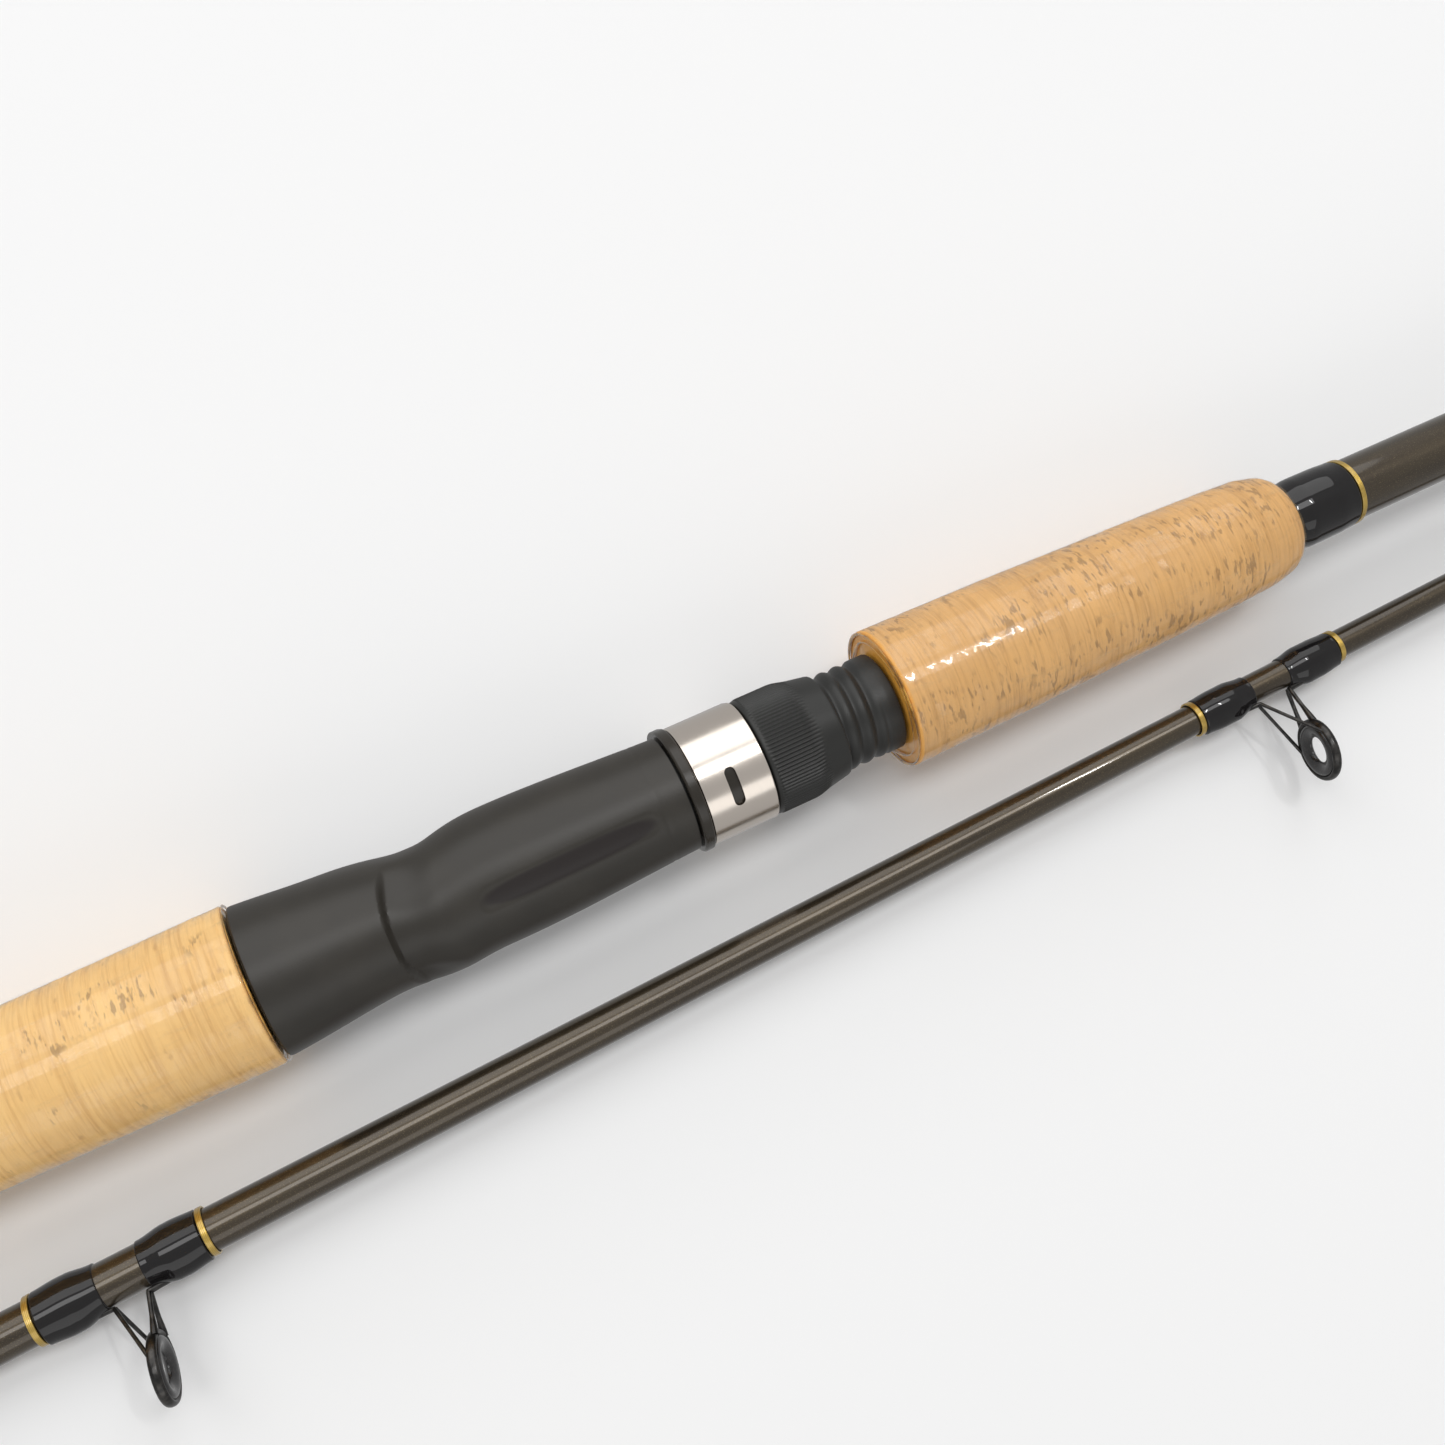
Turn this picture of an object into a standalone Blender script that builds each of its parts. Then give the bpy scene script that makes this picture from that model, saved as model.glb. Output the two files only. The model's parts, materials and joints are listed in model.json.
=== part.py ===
"""Two-piece spinning rod, taken down, its tip section laid beside its handle section.

Metres, +Z up. The origin is the centre of the butt cap's flat end, on the handle section's axis, and +X runs
from the butt towards the tip. Each section is built along its own local X axis, with the side that carries
the reel and the line guides at local -Z, and an empty turns it into place over the surface that it lies on.
"""

import math

import bmesh
import bpy
from mathutils import Matrix, Vector

MM = 0.001
GAP = 0.15 * MM  # space left between two glued or wrapped pieces

# ---- how the two sections lie ------------------------------------------------------------------
SURFACE_Z = -16.2 * MM
HANDLE_ROLL = math.radians(24)  # turns the reel side down and a little away
TIP_START = (-85 * MM, -47.5 * MM, SURFACE_Z + 6.4 * MM)  # lower end of the tip section
TIP_YAW = math.radians(1.8)
TIP_ROLL = math.radians(-102)  # lays the line guides almost flat, towards -Y

# ---- handle section, distances from the butt ----------------------------------------------------
CAP_LENGTH = 21.7 * MM
REAR_GRIP_END = 275 * MM
SEAT_START = 275.7 * MM
SEAT_NECK = 307.5 * MM  # narrow waist, where the fixed hood opens
SEAT_SWELL = 325 * MM  # widest place of the palm swell
SEAT_END = 361.5 * MM
HOOD_START = 361.8 * MM
BAND_START = 364.3 * MM
BAND_END = 378.0 * MM
NUT_START = 378.3 * MM
NUT_END = 395.3 * MM
FORE_GRIP_START = 408.4 * MM
FORE_GRIP_END = 504.5 * MM
FORE_WRAP_END = 521.2 * MM
SECTION_END = 1080 * MM

BLANK_WALL = 1.0 * MM
PIPE_RADIUS = 9.7 * MM
PIPE_BORE = 8.1 * MM
PIPE_START = 283 * MM
FOOT_BED = 8.7 * MM  # the flat that the reel's foot lies on, measured down from the axis
BED_START = SEAT_NECK + 3.3 * MM
BED_END = HOOD_START - 0.6 * MM
THREAD_CREST = 10.2 * MM
THREAD_ROOT = 9.55 * MM
THREAD_PITCH = 3.2 * MM
THREAD_START = 381 * MM
THREAD_TURNS = 7
HOOD_BORE = 10.4 * MM
LINER_RADIUS = 11.65 * MM
BAND_RADIUS = 12.3 * MM
BAND_WALL = 0.45 * MM
RIM_RADIUS = 12.8 * MM
HOOD_REACH = 3.8 * MM  # how far the hood's lower lobe lies beyond the axis, over the reel's foot
LOBE_STEP = 0.7 * MM  # the lobe's radius is this much less than the hood's
FILM_WALL = 0.25 * MM

# ---- tip section, distances from its lower end --------------------------------------------------
SOCKET_DEPTH = 62 * MM  # takes the upper end of the handle section
SOCKET_MOUTH = 4.7 * MM
SOCKET_FLOOR = 4.55 * MM
TIP_BLANK_END = 1085 * MM

# (distance, radius) in mm along each piece
HANDLE_TAPER = ((0, 7.3), (530, 6.8), (1020, 4.55), (1080, 4.4))
TIP_TAPER = ((0, 5.35), (70, 5.2), (321, 4.2), (571, 3.2), (745, 2.5), (885, 1.9), (1085, 1.1))
REAR_GRIP_SHAPE = ((22.4, 13.9), (100, 14.2), (180, 14.8), (228, 15.2), (265, 15.65), (275, 15.75))
FORE_GRIP_SHAPE = ((408.4, 14.75), (437, 14.2), (456, 13.6), (476, 13.05))
FORE_GRIP_SHAPE += ((490, 12.5), (498, 12.0), (502.5, 11.0), (504.5, 9.6))

# name: (ring's distance along the section, ring's outside diameter, height of the ring's centre over the
# blank's axis, length of each wrap, bare blank between the wraps), all in mm
GUIDES = {
    "stripper_guide": (90, 23.0, 25.0, 14.5, 12.5),
    "guide_2": (321.2, 13.2, 18.3, 11.5, 8.0),
    "guide_3": (578.2, 13.2, 18.3, 13.2, 9.2),
    "guide_4": (745, 9.6, 13.6, 10.0, 7.5),
    "guide_5": (885, 8.0, 11.2, 9.0, 6.5),
    "guide_6": (995, 7.0, 9.6, 8.0, 6.0),
}
TRIM_LENGTH = 1.2 * MM
WRAP_WALL = 0.45 * MM
FOOT_THICKNESS = 0.5 * MM
GUIDE_LEAN = math.radians(8)  # the rings lean back towards the butt


# ---- scene and materials -------------------------------------------------------------------------
def clear_scene():
    for obj in list(bpy.data.objects):
        bpy.data.objects.remove(obj, do_unlink=True)


def new_collection(name):
    collection = bpy.data.collections.new(name)
    bpy.context.scene.collection.children.link(collection)
    return collection


def new_material(name, colour, roughness, metallic=0.0):
    material = bpy.data.materials.new(name)
    material.use_nodes = True
    shader = material.node_tree.nodes["Principled BSDF"]
    shader.inputs["Base Color"].default_value = (*colour, 1.0)
    shader.inputs["Roughness"].default_value = roughness
    shader.inputs["Metallic"].default_value = metallic
    return material


clear_scene()
ROD = new_collection("spinning_rod")
HELPERS = new_collection("cutters")

CORK = new_material("cork", (0.78, 0.52, 0.27), 0.5)
FILM = new_material("clear_film", (0.85, 0.78, 0.62), 0.1)
RUBBER = new_material("black_rubber", (0.03, 0.03, 0.03), 0.8)
PLASTIC = new_material("black_plastic", (0.055, 0.052, 0.048), 0.45)
STEEL = new_material("stainless_steel", (0.62, 0.58, 0.54), 0.25, 1.0)
BLANK = new_material("brown_blank", (0.13, 0.095, 0.06), 0.3, 0.4)
THREAD = new_material("black_wrap", (0.02, 0.018, 0.018), 0.15)
GOLD = new_material("gold_trim", (0.75, 0.55, 0.12), 0.3, 0.6)
GUNMETAL = new_material("dark_guide_metal", (0.07, 0.065, 0.06), 0.3, 0.8)
CERAMIC = new_material("guide_ring_ceramic", (0.05, 0.045, 0.045), 0.15)


def new_section(name, location, rotation):
    empty = bpy.data.objects.new(name, None)
    empty.location = location
    empty.rotation_euler = rotation
    ROD.objects.link(empty)
    return empty


HANDLE = new_section("handle_section", (0, 0, 0), (HANDLE_ROLL, 0, 0))
TIP = new_section("tip_section", TIP_START, (TIP_ROLL, 0, TIP_YAW))


# ---- shape tools ---------------------------------------------------------------------------------
def radius_at(table, x):
    """Radius in metres at x metres along a table of (mm, mm) rows, straight between rows."""
    x_mm = x / MM
    for (x0, r0), (x1, r1) in zip(table, table[1:]):
        if x_mm <= x1:
            return (r0 + (r1 - r0) * (x_mm - x0) / (x1 - x0)) * MM
    return table[-1][1] * MM


def scaled(table, grow=0.0):
    """A (mm, mm) table as (x, radius) points in metres, its radius made larger by grow."""
    return [(x * MM, r * MM + grow) for x, r in table]


def add_mesh(name, mesh, material, parent, location=(0, 0, 0)):
    obj = bpy.data.objects.new(name, mesh)
    obj.location = location
    obj.parent = parent
    if material:
        mesh.materials.append(material)
        ROD.objects.link(obj)
    else:
        HELPERS.objects.link(obj)
        obj.hide_render = True
        obj.display_type = "WIRE"
    return obj


def turned(name, outline, sides, material, parent, location=(0, 0, 0)):
    """A closed outline of (x, radius) points turned round the section's X axis with a Screw modifier.

    The outline goes along the outside towards the tip and comes back along the bore. Where it starts and ends
    on the axis it is left open there, and the turned points meet.
    """
    count = len(outline)
    on_axis = outline[0][1] == 0 and outline[-1][1] == 0
    edges = [(i, i + 1) for i in range(count - 1)] + ([] if on_axis else [(count - 1, 0)])
    mesh = bpy.data.meshes.new(name)
    mesh.from_pydata([(x, 0, r) for x, r in outline], edges, [])
    obj = add_mesh(name, mesh, material, parent, location)
    screw = obj.modifiers.new("Turn", "SCREW")
    screw.axis = "X"
    screw.angle = math.tau
    screw.steps = screw.render_steps = sides
    screw.use_merge_vertices = True
    screw.merge_threshold = 1e-5
    screw.use_smooth_shade = True
    screw.use_normal_flip = True
    return obj


def sleeve(name, outer, bore, sides, material, parent, location=(0, 0, 0)):
    """A tube: outer is a list of (x, radius), and bore one radius or a pair for its two ends."""
    bore_0, bore_1 = bore if isinstance(bore, tuple) else (bore, bore)
    back = [(outer[-1][0], bore_1), (outer[0][0], bore_0)]
    return turned(name, list(outer) + back, sides, material, parent, location)


def mesh_from_bmesh(name, bm):
    bmesh.ops.recalc_face_normals(bm, faces=bm.faces)
    mesh = bpy.data.meshes.new(name)
    bm.to_mesh(mesh)
    bm.free()
    return mesh


def block(name, low, high, parent, material=None):
    """A box between two corners."""
    low, high = Vector(low), Vector(high)
    bm = bmesh.new()
    bmesh.ops.create_cube(bm, size=1.0)
    bmesh.ops.scale(bm, vec=high - low, verts=bm.verts)
    bmesh.ops.translate(bm, vec=(low + high) / 2, verts=bm.verts)
    return add_mesh(name, mesh_from_bmesh(name, bm), material, parent)


def bar(name, start, end, radius, parent, sides=8, end_radius=None):
    """A straight round bar between two points."""
    start, end = Vector(start), Vector(end)
    along = end - start
    turn = Vector((0, 0, 1)).rotation_difference(along).to_matrix().to_4x4()
    bm = bmesh.new()
    bmesh.ops.create_cone(
        bm,
        cap_ends=True,
        segments=sides,
        radius1=radius,
        radius2=radius if end_radius is None else end_radius,
        depth=along.length,
        matrix=Matrix.Translation((start + end) / 2) @ turn,
    )
    return add_mesh(name, mesh_from_bmesh(name, bm), None, parent)


def loft(name, stations, radius, around, material, parent, shift=lambda x: 0.0):
    """A solid skin through cross-sections: radius(x, angle) from the centre, with angle 0 at local +Z.

    shift(x) moves the section's centre along local Y.
    """
    bm = bmesh.new()
    rings = []
    for x in stations:
        ring = []
        for k in range(around):
            angle = math.tau * k / around
            r = radius(x, angle)
            ring.append(bm.verts.new((x, shift(x) + r * math.sin(angle), r * math.cos(angle))))
        rings.append(ring)
    for first, second in zip(rings, rings[1:]):
        for k in range(around):
            n = (k + 1) % around
            bm.faces.new((first[k], first[n], second[n], second[k]))
    bm.faces.new(rings[0])
    bm.faces.new(rings[-1])
    return add_mesh(name, mesh_from_bmesh(name, bm), material, parent)


def combine(obj, other, operation):
    """Adds a Boolean modifier. Its operand stays in the cutters collection."""
    modifier = obj.modifiers.new(f"{operation.title()} {other.name}", "BOOLEAN")
    modifier.operation = operation
    modifier.object = other
    modifier.solver = "EXACT"


def smooth_step(x, low, high):
    t = min(1.0, max(0.0, (x - low) / (high - low)))
    return t * t * (3 - 2 * t)


# ---- blanks --------------------------------------------------------------------------------------
def blank_outline(taper, start, end):
    """Outside and inside (x, radius) points of a tapered tube."""
    stations = [start] + [x * MM for x, _ in taper if start < x * MM < end] + [end]
    outside = [(x, radius_at(taper, x)) for x in stations]
    inside = [(x, r - min(BLANK_WALL, r * 0.5)) for x, r in outside]
    return outside, inside


def make_handle_blank():
    outside, inside = blank_outline(HANDLE_TAPER, 5 * MM, SECTION_END)
    return turned("handle_blank", outside + inside[::-1], 24, BLANK, HANDLE)


def make_tip_blank():
    """The tip section's tube, its lower end bored out as the socket that slips over the handle's blank."""
    outside, inside = blank_outline(TIP_TAPER, 0, TIP_BLANK_END)
    inside = [point for point in inside if point[0] > SOCKET_DEPTH]
    socket = [(SOCKET_DEPTH, radius_at(TIP_TAPER, SOCKET_DEPTH) - 1.4 * MM), (SOCKET_DEPTH, SOCKET_FLOOR)]
    return turned("tip_blank", outside + inside[::-1] + socket + [(0, SOCKET_MOUTH)], 16, BLANK, TIP)


# ---- grips ---------------------------------------------------------------------------------------
def make_grip(name, shape, bore):
    """A turned cork grip, and the clear shrink film round it with its edges turned in over both ends."""
    sleeve(name, scaled(shape), bore, 28, CORK, HANDLE)
    start, end = shape[0][0] * MM, shape[-1][0] * MM
    inner = scaled(shape, GAP)
    outer = scaled(shape, GAP + FILM_WALL)
    lip = 1.6 * MM
    edge = 0.15 * MM
    outline = [
        (start - edge - FILM_WALL, outer[0][1] - lip),
        (start - edge - FILM_WALL, outer[0][1]),
        *outer[1:-1],
        (end + edge + FILM_WALL, outer[-1][1]),
        (end + edge + FILM_WALL, outer[-1][1] - lip),
        (end + edge, outer[-1][1] - lip),
        (end + edge, inner[-1][1]),
        *inner[-2:0:-1],
        (start - edge, inner[0][1]),
        (start - edge, outer[0][1] - lip),
    ]
    turned(f"{name}_film", outline, 28, FILM, HANDLE)


def make_butt_cap():
    """A rubber cup on the butt: a flat end, a rounded rim, and a blind bore that takes the blank."""
    bore = radius_at(HANDLE_TAPER, 0) + GAP
    floor = 4.5 * MM
    outline = [
        (0, 0),
        (0, 11.8 * MM),
        (0.8 * MM, 13.2 * MM),
        (2.4 * MM, 14.0 * MM),
        (CAP_LENGTH, 14.2 * MM),
        (CAP_LENGTH, bore),
        (floor, bore),
        (floor, 0),
    ]
    return turned("butt_cap", outline, 28, RUBBER, HANDLE)


# ---- reel seat -----------------------------------------------------------------------------------
def seat_radius(x, angle):
    """Outer radius of the seat body.

    A cone runs down from the grip to the neck, the palm swell rises behind it, and on the reel's side the
    fixed hood stands out over the mouth that takes the foot.
    """
    cone = 15.3 * MM - 2.8 * MM * smooth_step(x, SEAT_START - 6 * MM, SEAT_NECK)
    swell = 0.8 * MM * smooth_step(x, SEAT_NECK, SEAT_SWELL)
    taper = 1.8 * MM * smooth_step(x, SEAT_SWELL, SEAT_END + 12 * MM)
    hood = max(0.0, -math.cos(angle)) ** 2 * 3.0 * MM
    hood *= smooth_step(x, 284 * MM, 297 * MM) * (1 - smooth_step(x, 309 * MM, 314 * MM))
    return min(cone + swell - taper + hood, 15.55 * MM)


def neck_shift(x):
    """The waist is pinched in on one side, under the heel of the hand."""
    return -1.4 * MM * math.exp(-(((x - SEAT_NECK - 2 * MM) / (7 * MM)) ** 2))


def make_seat_body():
    count = 18
    stations = [SEAT_START + (SEAT_END - SEAT_START) * i / (count - 1) for i in range(count)]
    body = loft("reel_seat_body", stations, seat_radius, 28, PLASTIC, HANDLE, neck_shift)
    bore = bar("seat_bore", (270 * MM, 0, 0), (370 * MM, 0, 0), PIPE_RADIUS + GAP, HANDLE, 28)
    combine(body, bore, "DIFFERENCE")
    # the reel's side is open from the fixed hood's mouth to the moving hood
    side, mouth = 20 * MM, SEAT_NECK + 3 * MM
    clearance = block("foot_clearance", (mouth, -side, -side), (370 * MM, side, -6.2 * MM), HANDLE)
    combine(body, clearance, "DIFFERENCE")
    low, high = (294 * MM, -6.6 * MM, -13.1 * MM), (mouth + 2 * MM, 6.6 * MM, -5 * MM)
    combine(body, block("fixed_hood_pocket", low, high, HANDLE), "DIFFERENCE")
    return body


def make_seat_pipe():
    """The inner barrel: plain under the body, flat where the reel's foot lies, threaded for the nut."""
    outside = [(PIPE_START, PIPE_RADIUS), (THREAD_START - 3 * MM, PIPE_RADIUS)]
    outside += [(THREAD_START - 2.4 * MM, THREAD_CREST)]
    for turn in range(THREAD_TURNS):
        x = THREAD_START + turn * THREAD_PITCH
        outside += [
            (x, THREAD_CREST),
            (x + 0.5 * MM, THREAD_ROOT),
            (x + 1.2 * MM, THREAD_ROOT),
            (x + 1.7 * MM, THREAD_CREST),
        ]
    outside += [(FORE_GRIP_START - 0.7 * MM, THREAD_CREST)]
    pipe = sleeve("seat_pipe", outside, PIPE_BORE, 24, PLASTIC, HANDLE)
    side = 12 * MM
    # the flat is clear between the two hoods, and lies a little deeper under them
    for name, low, high, floor in (
        ("foot_bed", BED_START, BED_END, FOOT_BED),
        ("rear_land", 292 * MM, BED_START, FOOT_BED - 0.3 * MM),
        ("front_land", BED_END, 376 * MM, FOOT_BED - 0.3 * MM),
    ):
        cutter = block(f"{name}_cutter", (low, -side, -side), (high, side, -floor), HANDLE)
        combine(pipe, cutter, "DIFFERENCE")
    return pipe


def hood_section(base):
    """Radius round the moving hood: the outline of a circle and of a slightly smaller one set below it."""
    lobe = base - LOBE_STEP
    leave = math.acos(LOBE_STEP / HOOD_REACH)  # where the straight side leaves the upper circle
    meet = math.atan2(lobe * math.sin(leave), HOOD_REACH + lobe * math.cos(leave))

    def radius(_, angle):
        below = abs(math.remainder(angle - math.pi, math.tau))  # angle from the reel's side
        if below > leave:
            return base
        if below > meet:
            return base / math.cos(below - leave)
        across = HOOD_REACH * math.sin(below)
        return HOOD_REACH * math.cos(below) + math.sqrt(lobe**2 - across**2)

    return radius


def make_moving_hood():
    """Plastic liner with its rear rim and the pocket for the foot, and the steel band pressed round it."""
    bases = {
        HOOD_START: RIM_RADIUS - 0.4 * MM,
        HOOD_START + 0.5 * MM: RIM_RADIUS,
        BAND_START - 0.7 * MM: RIM_RADIUS,
        BAND_START - 0.2 * MM: LINER_RADIUS,
        BAND_END: LINER_RADIUS,
    }

    def liner_radius(x, angle):
        return hood_section(bases[x])(x, angle)

    liner = loft("hood_liner", list(bases), liner_radius, 36, PLASTIC, HANDLE)
    bore = bar("hood_bore", (350 * MM, 0, 0), (390 * MM, 0, 0), HOOD_BORE, HANDLE, 28)
    combine(liner, bore, "DIFFERENCE")
    mouth = hood_section(HOOD_BORE + 0.1 * MM)
    pocket = loft("moving_hood_pocket", [350 * MM, 374 * MM], mouth, 36, None, HANDLE)
    combine(liner, pocket, "DIFFERENCE")

    band = loft("hood_band", [BAND_START, BAND_END], hood_section(BAND_RADIUS), 36, STEEL, HANDLE)
    inside = [BAND_START - MM, BAND_END + MM]
    bore = loft("band_bore", inside, hood_section(BAND_RADIUS - BAND_WALL), 36, None, HANDLE)
    combine(band, bore, "DIFFERENCE")
    middle, half = (BAND_START + BAND_END) / 2, 1.1 * MM
    slot = block("band_slot", (middle - half, -3.9 * MM, 8 * MM), (middle + half, 3.9 * MM, 16 * MM), HANDLE)
    combine(band, slot, "DIFFERENCE")


def make_lock_nut():
    outside = [
        (NUT_START, BAND_RADIUS - 0.4 * MM),
        (NUT_START + 0.4 * MM, BAND_RADIUS - 0.05 * MM),
        (NUT_START + 9 * MM, BAND_RADIUS - 0.05 * MM),
        (NUT_START + 12.5 * MM, 11.6 * MM),
        (NUT_END, 10.8 * MM),
    ]
    return sleeve("lock_nut", outside, HOOD_BORE, 32, PLASTIC, HANDLE)


def make_arbors():
    """Two rings that centre the blank in the seat's pipe."""
    for name, start in (("rear_arbor", 285 * MM), ("front_arbor", 384 * MM)):
        end, outside = start + 18 * MM, PIPE_BORE - GAP
        bore = radius_at(HANDLE_TAPER, start) + GAP
        sleeve(name, [(start, outside), (end, outside)], bore, 20, PLASTIC, HANDLE)


# ---- wraps and guides ----------------------------------------------------------------------------
def make_wrap(name, start, end, bore, wall, parent, drop=0.0, sides=16):
    """A varnished thread wrap: a sleeve with rounded ends. drop moves it towards the guide's foot."""
    shoulder = min(2.2 * MM, (end - start) / 4)
    outer = [
        (start, bore + wall * 0.35),
        (start + shoulder, bore + wall),
        (end - shoulder, bore + wall),
        (end, bore + wall * 0.35),
    ]
    return sleeve(name, outer, bore, sides, THREAD, parent, (0, 0, -drop))


def make_trim(name, start, taper, parent, sides=16):
    """A narrow band of metallic thread beside a wrap."""
    bore = radius_at(taper, start) + GAP
    top = bore + 0.4 * MM
    return sleeve(name, [(start, top), (start + TRIM_LENGTH, top)], bore, sides, GOLD, parent)


def make_guide(name, place, diameter, height, wrap_length, bare):
    """A line guide: a ring on two short legs in front and two thinner braces behind, and its wraps."""
    x, outer, height = place * MM, diameter / 2 * MM, height * MM
    wrap_length, bare = wrap_length * MM, bare * MM
    size = diameter / 13.2
    wire = max(0.72 * MM * size**0.5, 0.45 * MM)
    depth = max(2.6 * MM * size**0.5, 1.7 * MM)
    wall = max(0.6 * MM * size, 0.45 * MM)
    front_start = x + 0.14 * bare
    rear_end = front_start - bare
    blank = radius_at(TIP_TAPER, rear_end - wrap_length) + 0.02 * MM
    foot_top = blank + GAP
    foot_bottom = foot_top + FOOT_THICKNESS
    half_width = min(0.2 * blank + 0.35 * MM, 1.3 * MM)

    lean = Matrix.Rotation(GUIDE_LEAN, 4, "Y")
    centre = Vector((x - (height - blank) * math.sin(GUIDE_LEAN), 0, -height))
    hoop = [(-depth / 2, outer), (depth / 2, outer)]
    frame = sleeve(f"{name}_frame", hoop, outer - wall, 20, GUNMETAL, TIP, centre)
    frame.rotation_euler = lean.to_euler()
    feet = (
        ("rear", rear_end - wrap_length + 1.5 * MM, rear_end + 2.6 * wire),
        ("front", front_start - 2.6 * wire, front_start + wrap_length - 1.5 * MM),
    )
    for side_name, low, high in feet:
        corners = (low, -half_width, -foot_bottom), (high, half_width, -foot_top)
        combine(frame, block(f"{name}_{side_name}_foot", *corners, TIP), "UNION")
    reach = outer - wall + wire + 0.1 * MM
    leg_z = -(foot_top + 0.6 * FOOT_THICKNESS)
    legs = (
        ("front", front_start - 1.6 * wire, math.radians(38)),
        ("rear", rear_end + 1.6 * wire, math.radians(70)),
    )
    for leg_name, leg_x, angle in legs:
        for hand in (-1, 1):
            top = (leg_x, hand * (half_width * 0.4 + wire * 0.3), leg_z)
            way = 0.15 if leg_name == "front" else -0.15
            across, down = hand * reach * math.sin(angle), reach * math.cos(angle)
            end = centre + lean @ Vector((way * depth, across, down))
            thickness = wire if leg_name == "front" else 0.7 * wire
            combine(frame, bar(f"{name}_{leg_name}_leg_{hand}", top, end, thickness, TIP, 7), "UNION")

    seat = outer - wall - 0.1 * MM
    lining = (0.35 if size > 1.5 else 0.53) * seat
    rim = depth / 2 + 0.25 * MM
    insert = [
        (-rim, seat - lining * 0.4),
        (-rim * 0.6, seat),
        (rim * 0.6, seat),
        (rim, seat - lining * 0.4),
        (rim * 0.5, seat - lining),
        (-rim * 0.5, seat - lining),
    ]
    ring = turned(f"{name}_ring", insert, 20, CERAMIC, TIP, centre)
    ring.rotation_euler = lean.to_euler()

    sides = 16
    drop = (FOOT_THICKNESS + GAP) / 2
    clear = max(blank + GAP + drop, math.hypot(half_width, foot_bottom - drop) + 0.1 * MM)
    bore = clear / math.cos(math.pi / sides)
    for side_name, start in (("rear", rear_end - wrap_length), ("front", front_start)):
        make_wrap(f"{name}_{side_name}_wrap", start, start + wrap_length, bore, WRAP_WALL, TIP, drop, sides)
    make_trim(f"{name}_rear_trim", rear_end - wrap_length - GAP - TRIM_LENGTH, TIP_TAPER, TIP)
    make_trim(f"{name}_front_trim", front_start + wrap_length + GAP, TIP_TAPER, TIP)


def make_tip_top():
    """The end guide: a tube over the blank's tip, and a ring at 35 degrees held by it and two struts."""
    start, end = TIP_BLANK_END - 9 * MM, TIP_BLANK_END + 1.5 * MM
    bore = radius_at(TIP_TAPER, start) + GAP
    wall = 0.5 * MM
    outline = [(end - MM, 0), (end - MM, bore), (start, bore)]
    outline += [(start, bore + wall), (end, bore + wall), (end, 0)]
    frame = turned("tip_top_frame", outline, 14, GUNMETAL, TIP)
    centre = Vector((end + 2.6 * MM, 0, -4.4 * MM))
    outside, hoop_wall, depth = 3.9 * MM, 0.5 * MM, 1.5 * MM
    tilt = Matrix.Rotation(math.radians(-35), 4, "Y")
    hoop_ends = [(-depth / 2, outside), (depth / 2, outside)]
    hoop = sleeve("tip_top_hoop", hoop_ends, outside - hoop_wall, 18, None, TIP, centre)
    hoop.rotation_euler = tilt.to_euler()
    combine(frame, hoop, "UNION")
    for hand in (-1, 1):
        foot = (start + 2.5 * MM, hand * 0.9 * MM, -bore - 0.3 * MM)
        grip = centre + tilt @ Vector((0, hand * (outside + 0.1 * MM), 0))
        combine(frame, bar(f"tip_top_strut_{hand}", foot, grip, 0.45 * MM, TIP, 6), "UNION")
    seat = outside - hoop_wall - 0.1 * MM
    half = depth / 2 + 0.15 * MM
    profile = [(-half, seat - 0.4 * MM), (-half * 0.5, seat), (half * 0.5, seat), (half, seat - 0.4 * MM)]
    profile += [(half * 0.5, seat - 1.0 * MM), (-half * 0.5, seat - 1.0 * MM)]
    lining = turned("tip_top_ring", profile, 18, CERAMIC, TIP, centre)
    lining.rotation_euler = tilt.to_euler()
    wrap_start, wrap_end = start - GAP - 8 * MM, start - GAP
    wrap_bore = radius_at(TIP_TAPER, wrap_start) + GAP
    make_wrap("tip_top_wrap", wrap_start, wrap_end, wrap_bore, 0.4 * MM, TIP, sides=14)
    make_trim("tip_top_trim", wrap_start - GAP - TRIM_LENGTH, TIP_TAPER, TIP, sides=14)


# ---- the two sections ----------------------------------------------------------------------------
def make_handle_section():
    make_handle_blank()
    make_butt_cap()
    make_grip("rear_grip", REAR_GRIP_SHAPE, radius_at(HANDLE_TAPER, 0) + GAP)
    make_seat_body()
    make_seat_pipe()
    make_moving_hood()
    make_lock_nut()
    make_arbors()
    make_grip("fore_grip", FORE_GRIP_SHAPE, radius_at(HANDLE_TAPER, FORE_GRIP_START) + GAP)
    start = FORE_GRIP_END + 0.6 * MM
    bore = radius_at(HANDLE_TAPER, start) + GAP
    make_wrap("fore_wrap", start, FORE_WRAP_END, bore, 0.55 * MM, HANDLE, sides=20)
    make_trim("fore_trim", FORE_WRAP_END + GAP, HANDLE_TAPER, HANDLE, sides=20)


def make_tip_section():
    make_tip_blank()
    start, end = 2 * MM, 38 * MM
    make_wrap("ferrule_wrap", start, end, radius_at(TIP_TAPER, 0) + GAP, 0.5 * MM, TIP, sides=20)
    make_trim("ferrule_trim", end + GAP, TIP_TAPER, TIP, sides=20)
    for name, sizes in GUIDES.items():
        make_guide(name, *sizes)
    make_tip_top()


make_handle_section()
make_tip_section()
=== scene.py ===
# %% [markdown]
# # A spinning rod on a pale studio floor
# The solid model gives every piece's place and size. This script dresses it: cork, lacquered blank, thread
# wraps under epoxy, moulded plastic, polished steel. Each surface is a formula in two parameters, worked
# out on a grid of points, so it is smooth from close up and still fits the solid that it stands for.

import json
import math

import bpy
import numpy as np
from mathutils import Matrix, Vector

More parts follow.
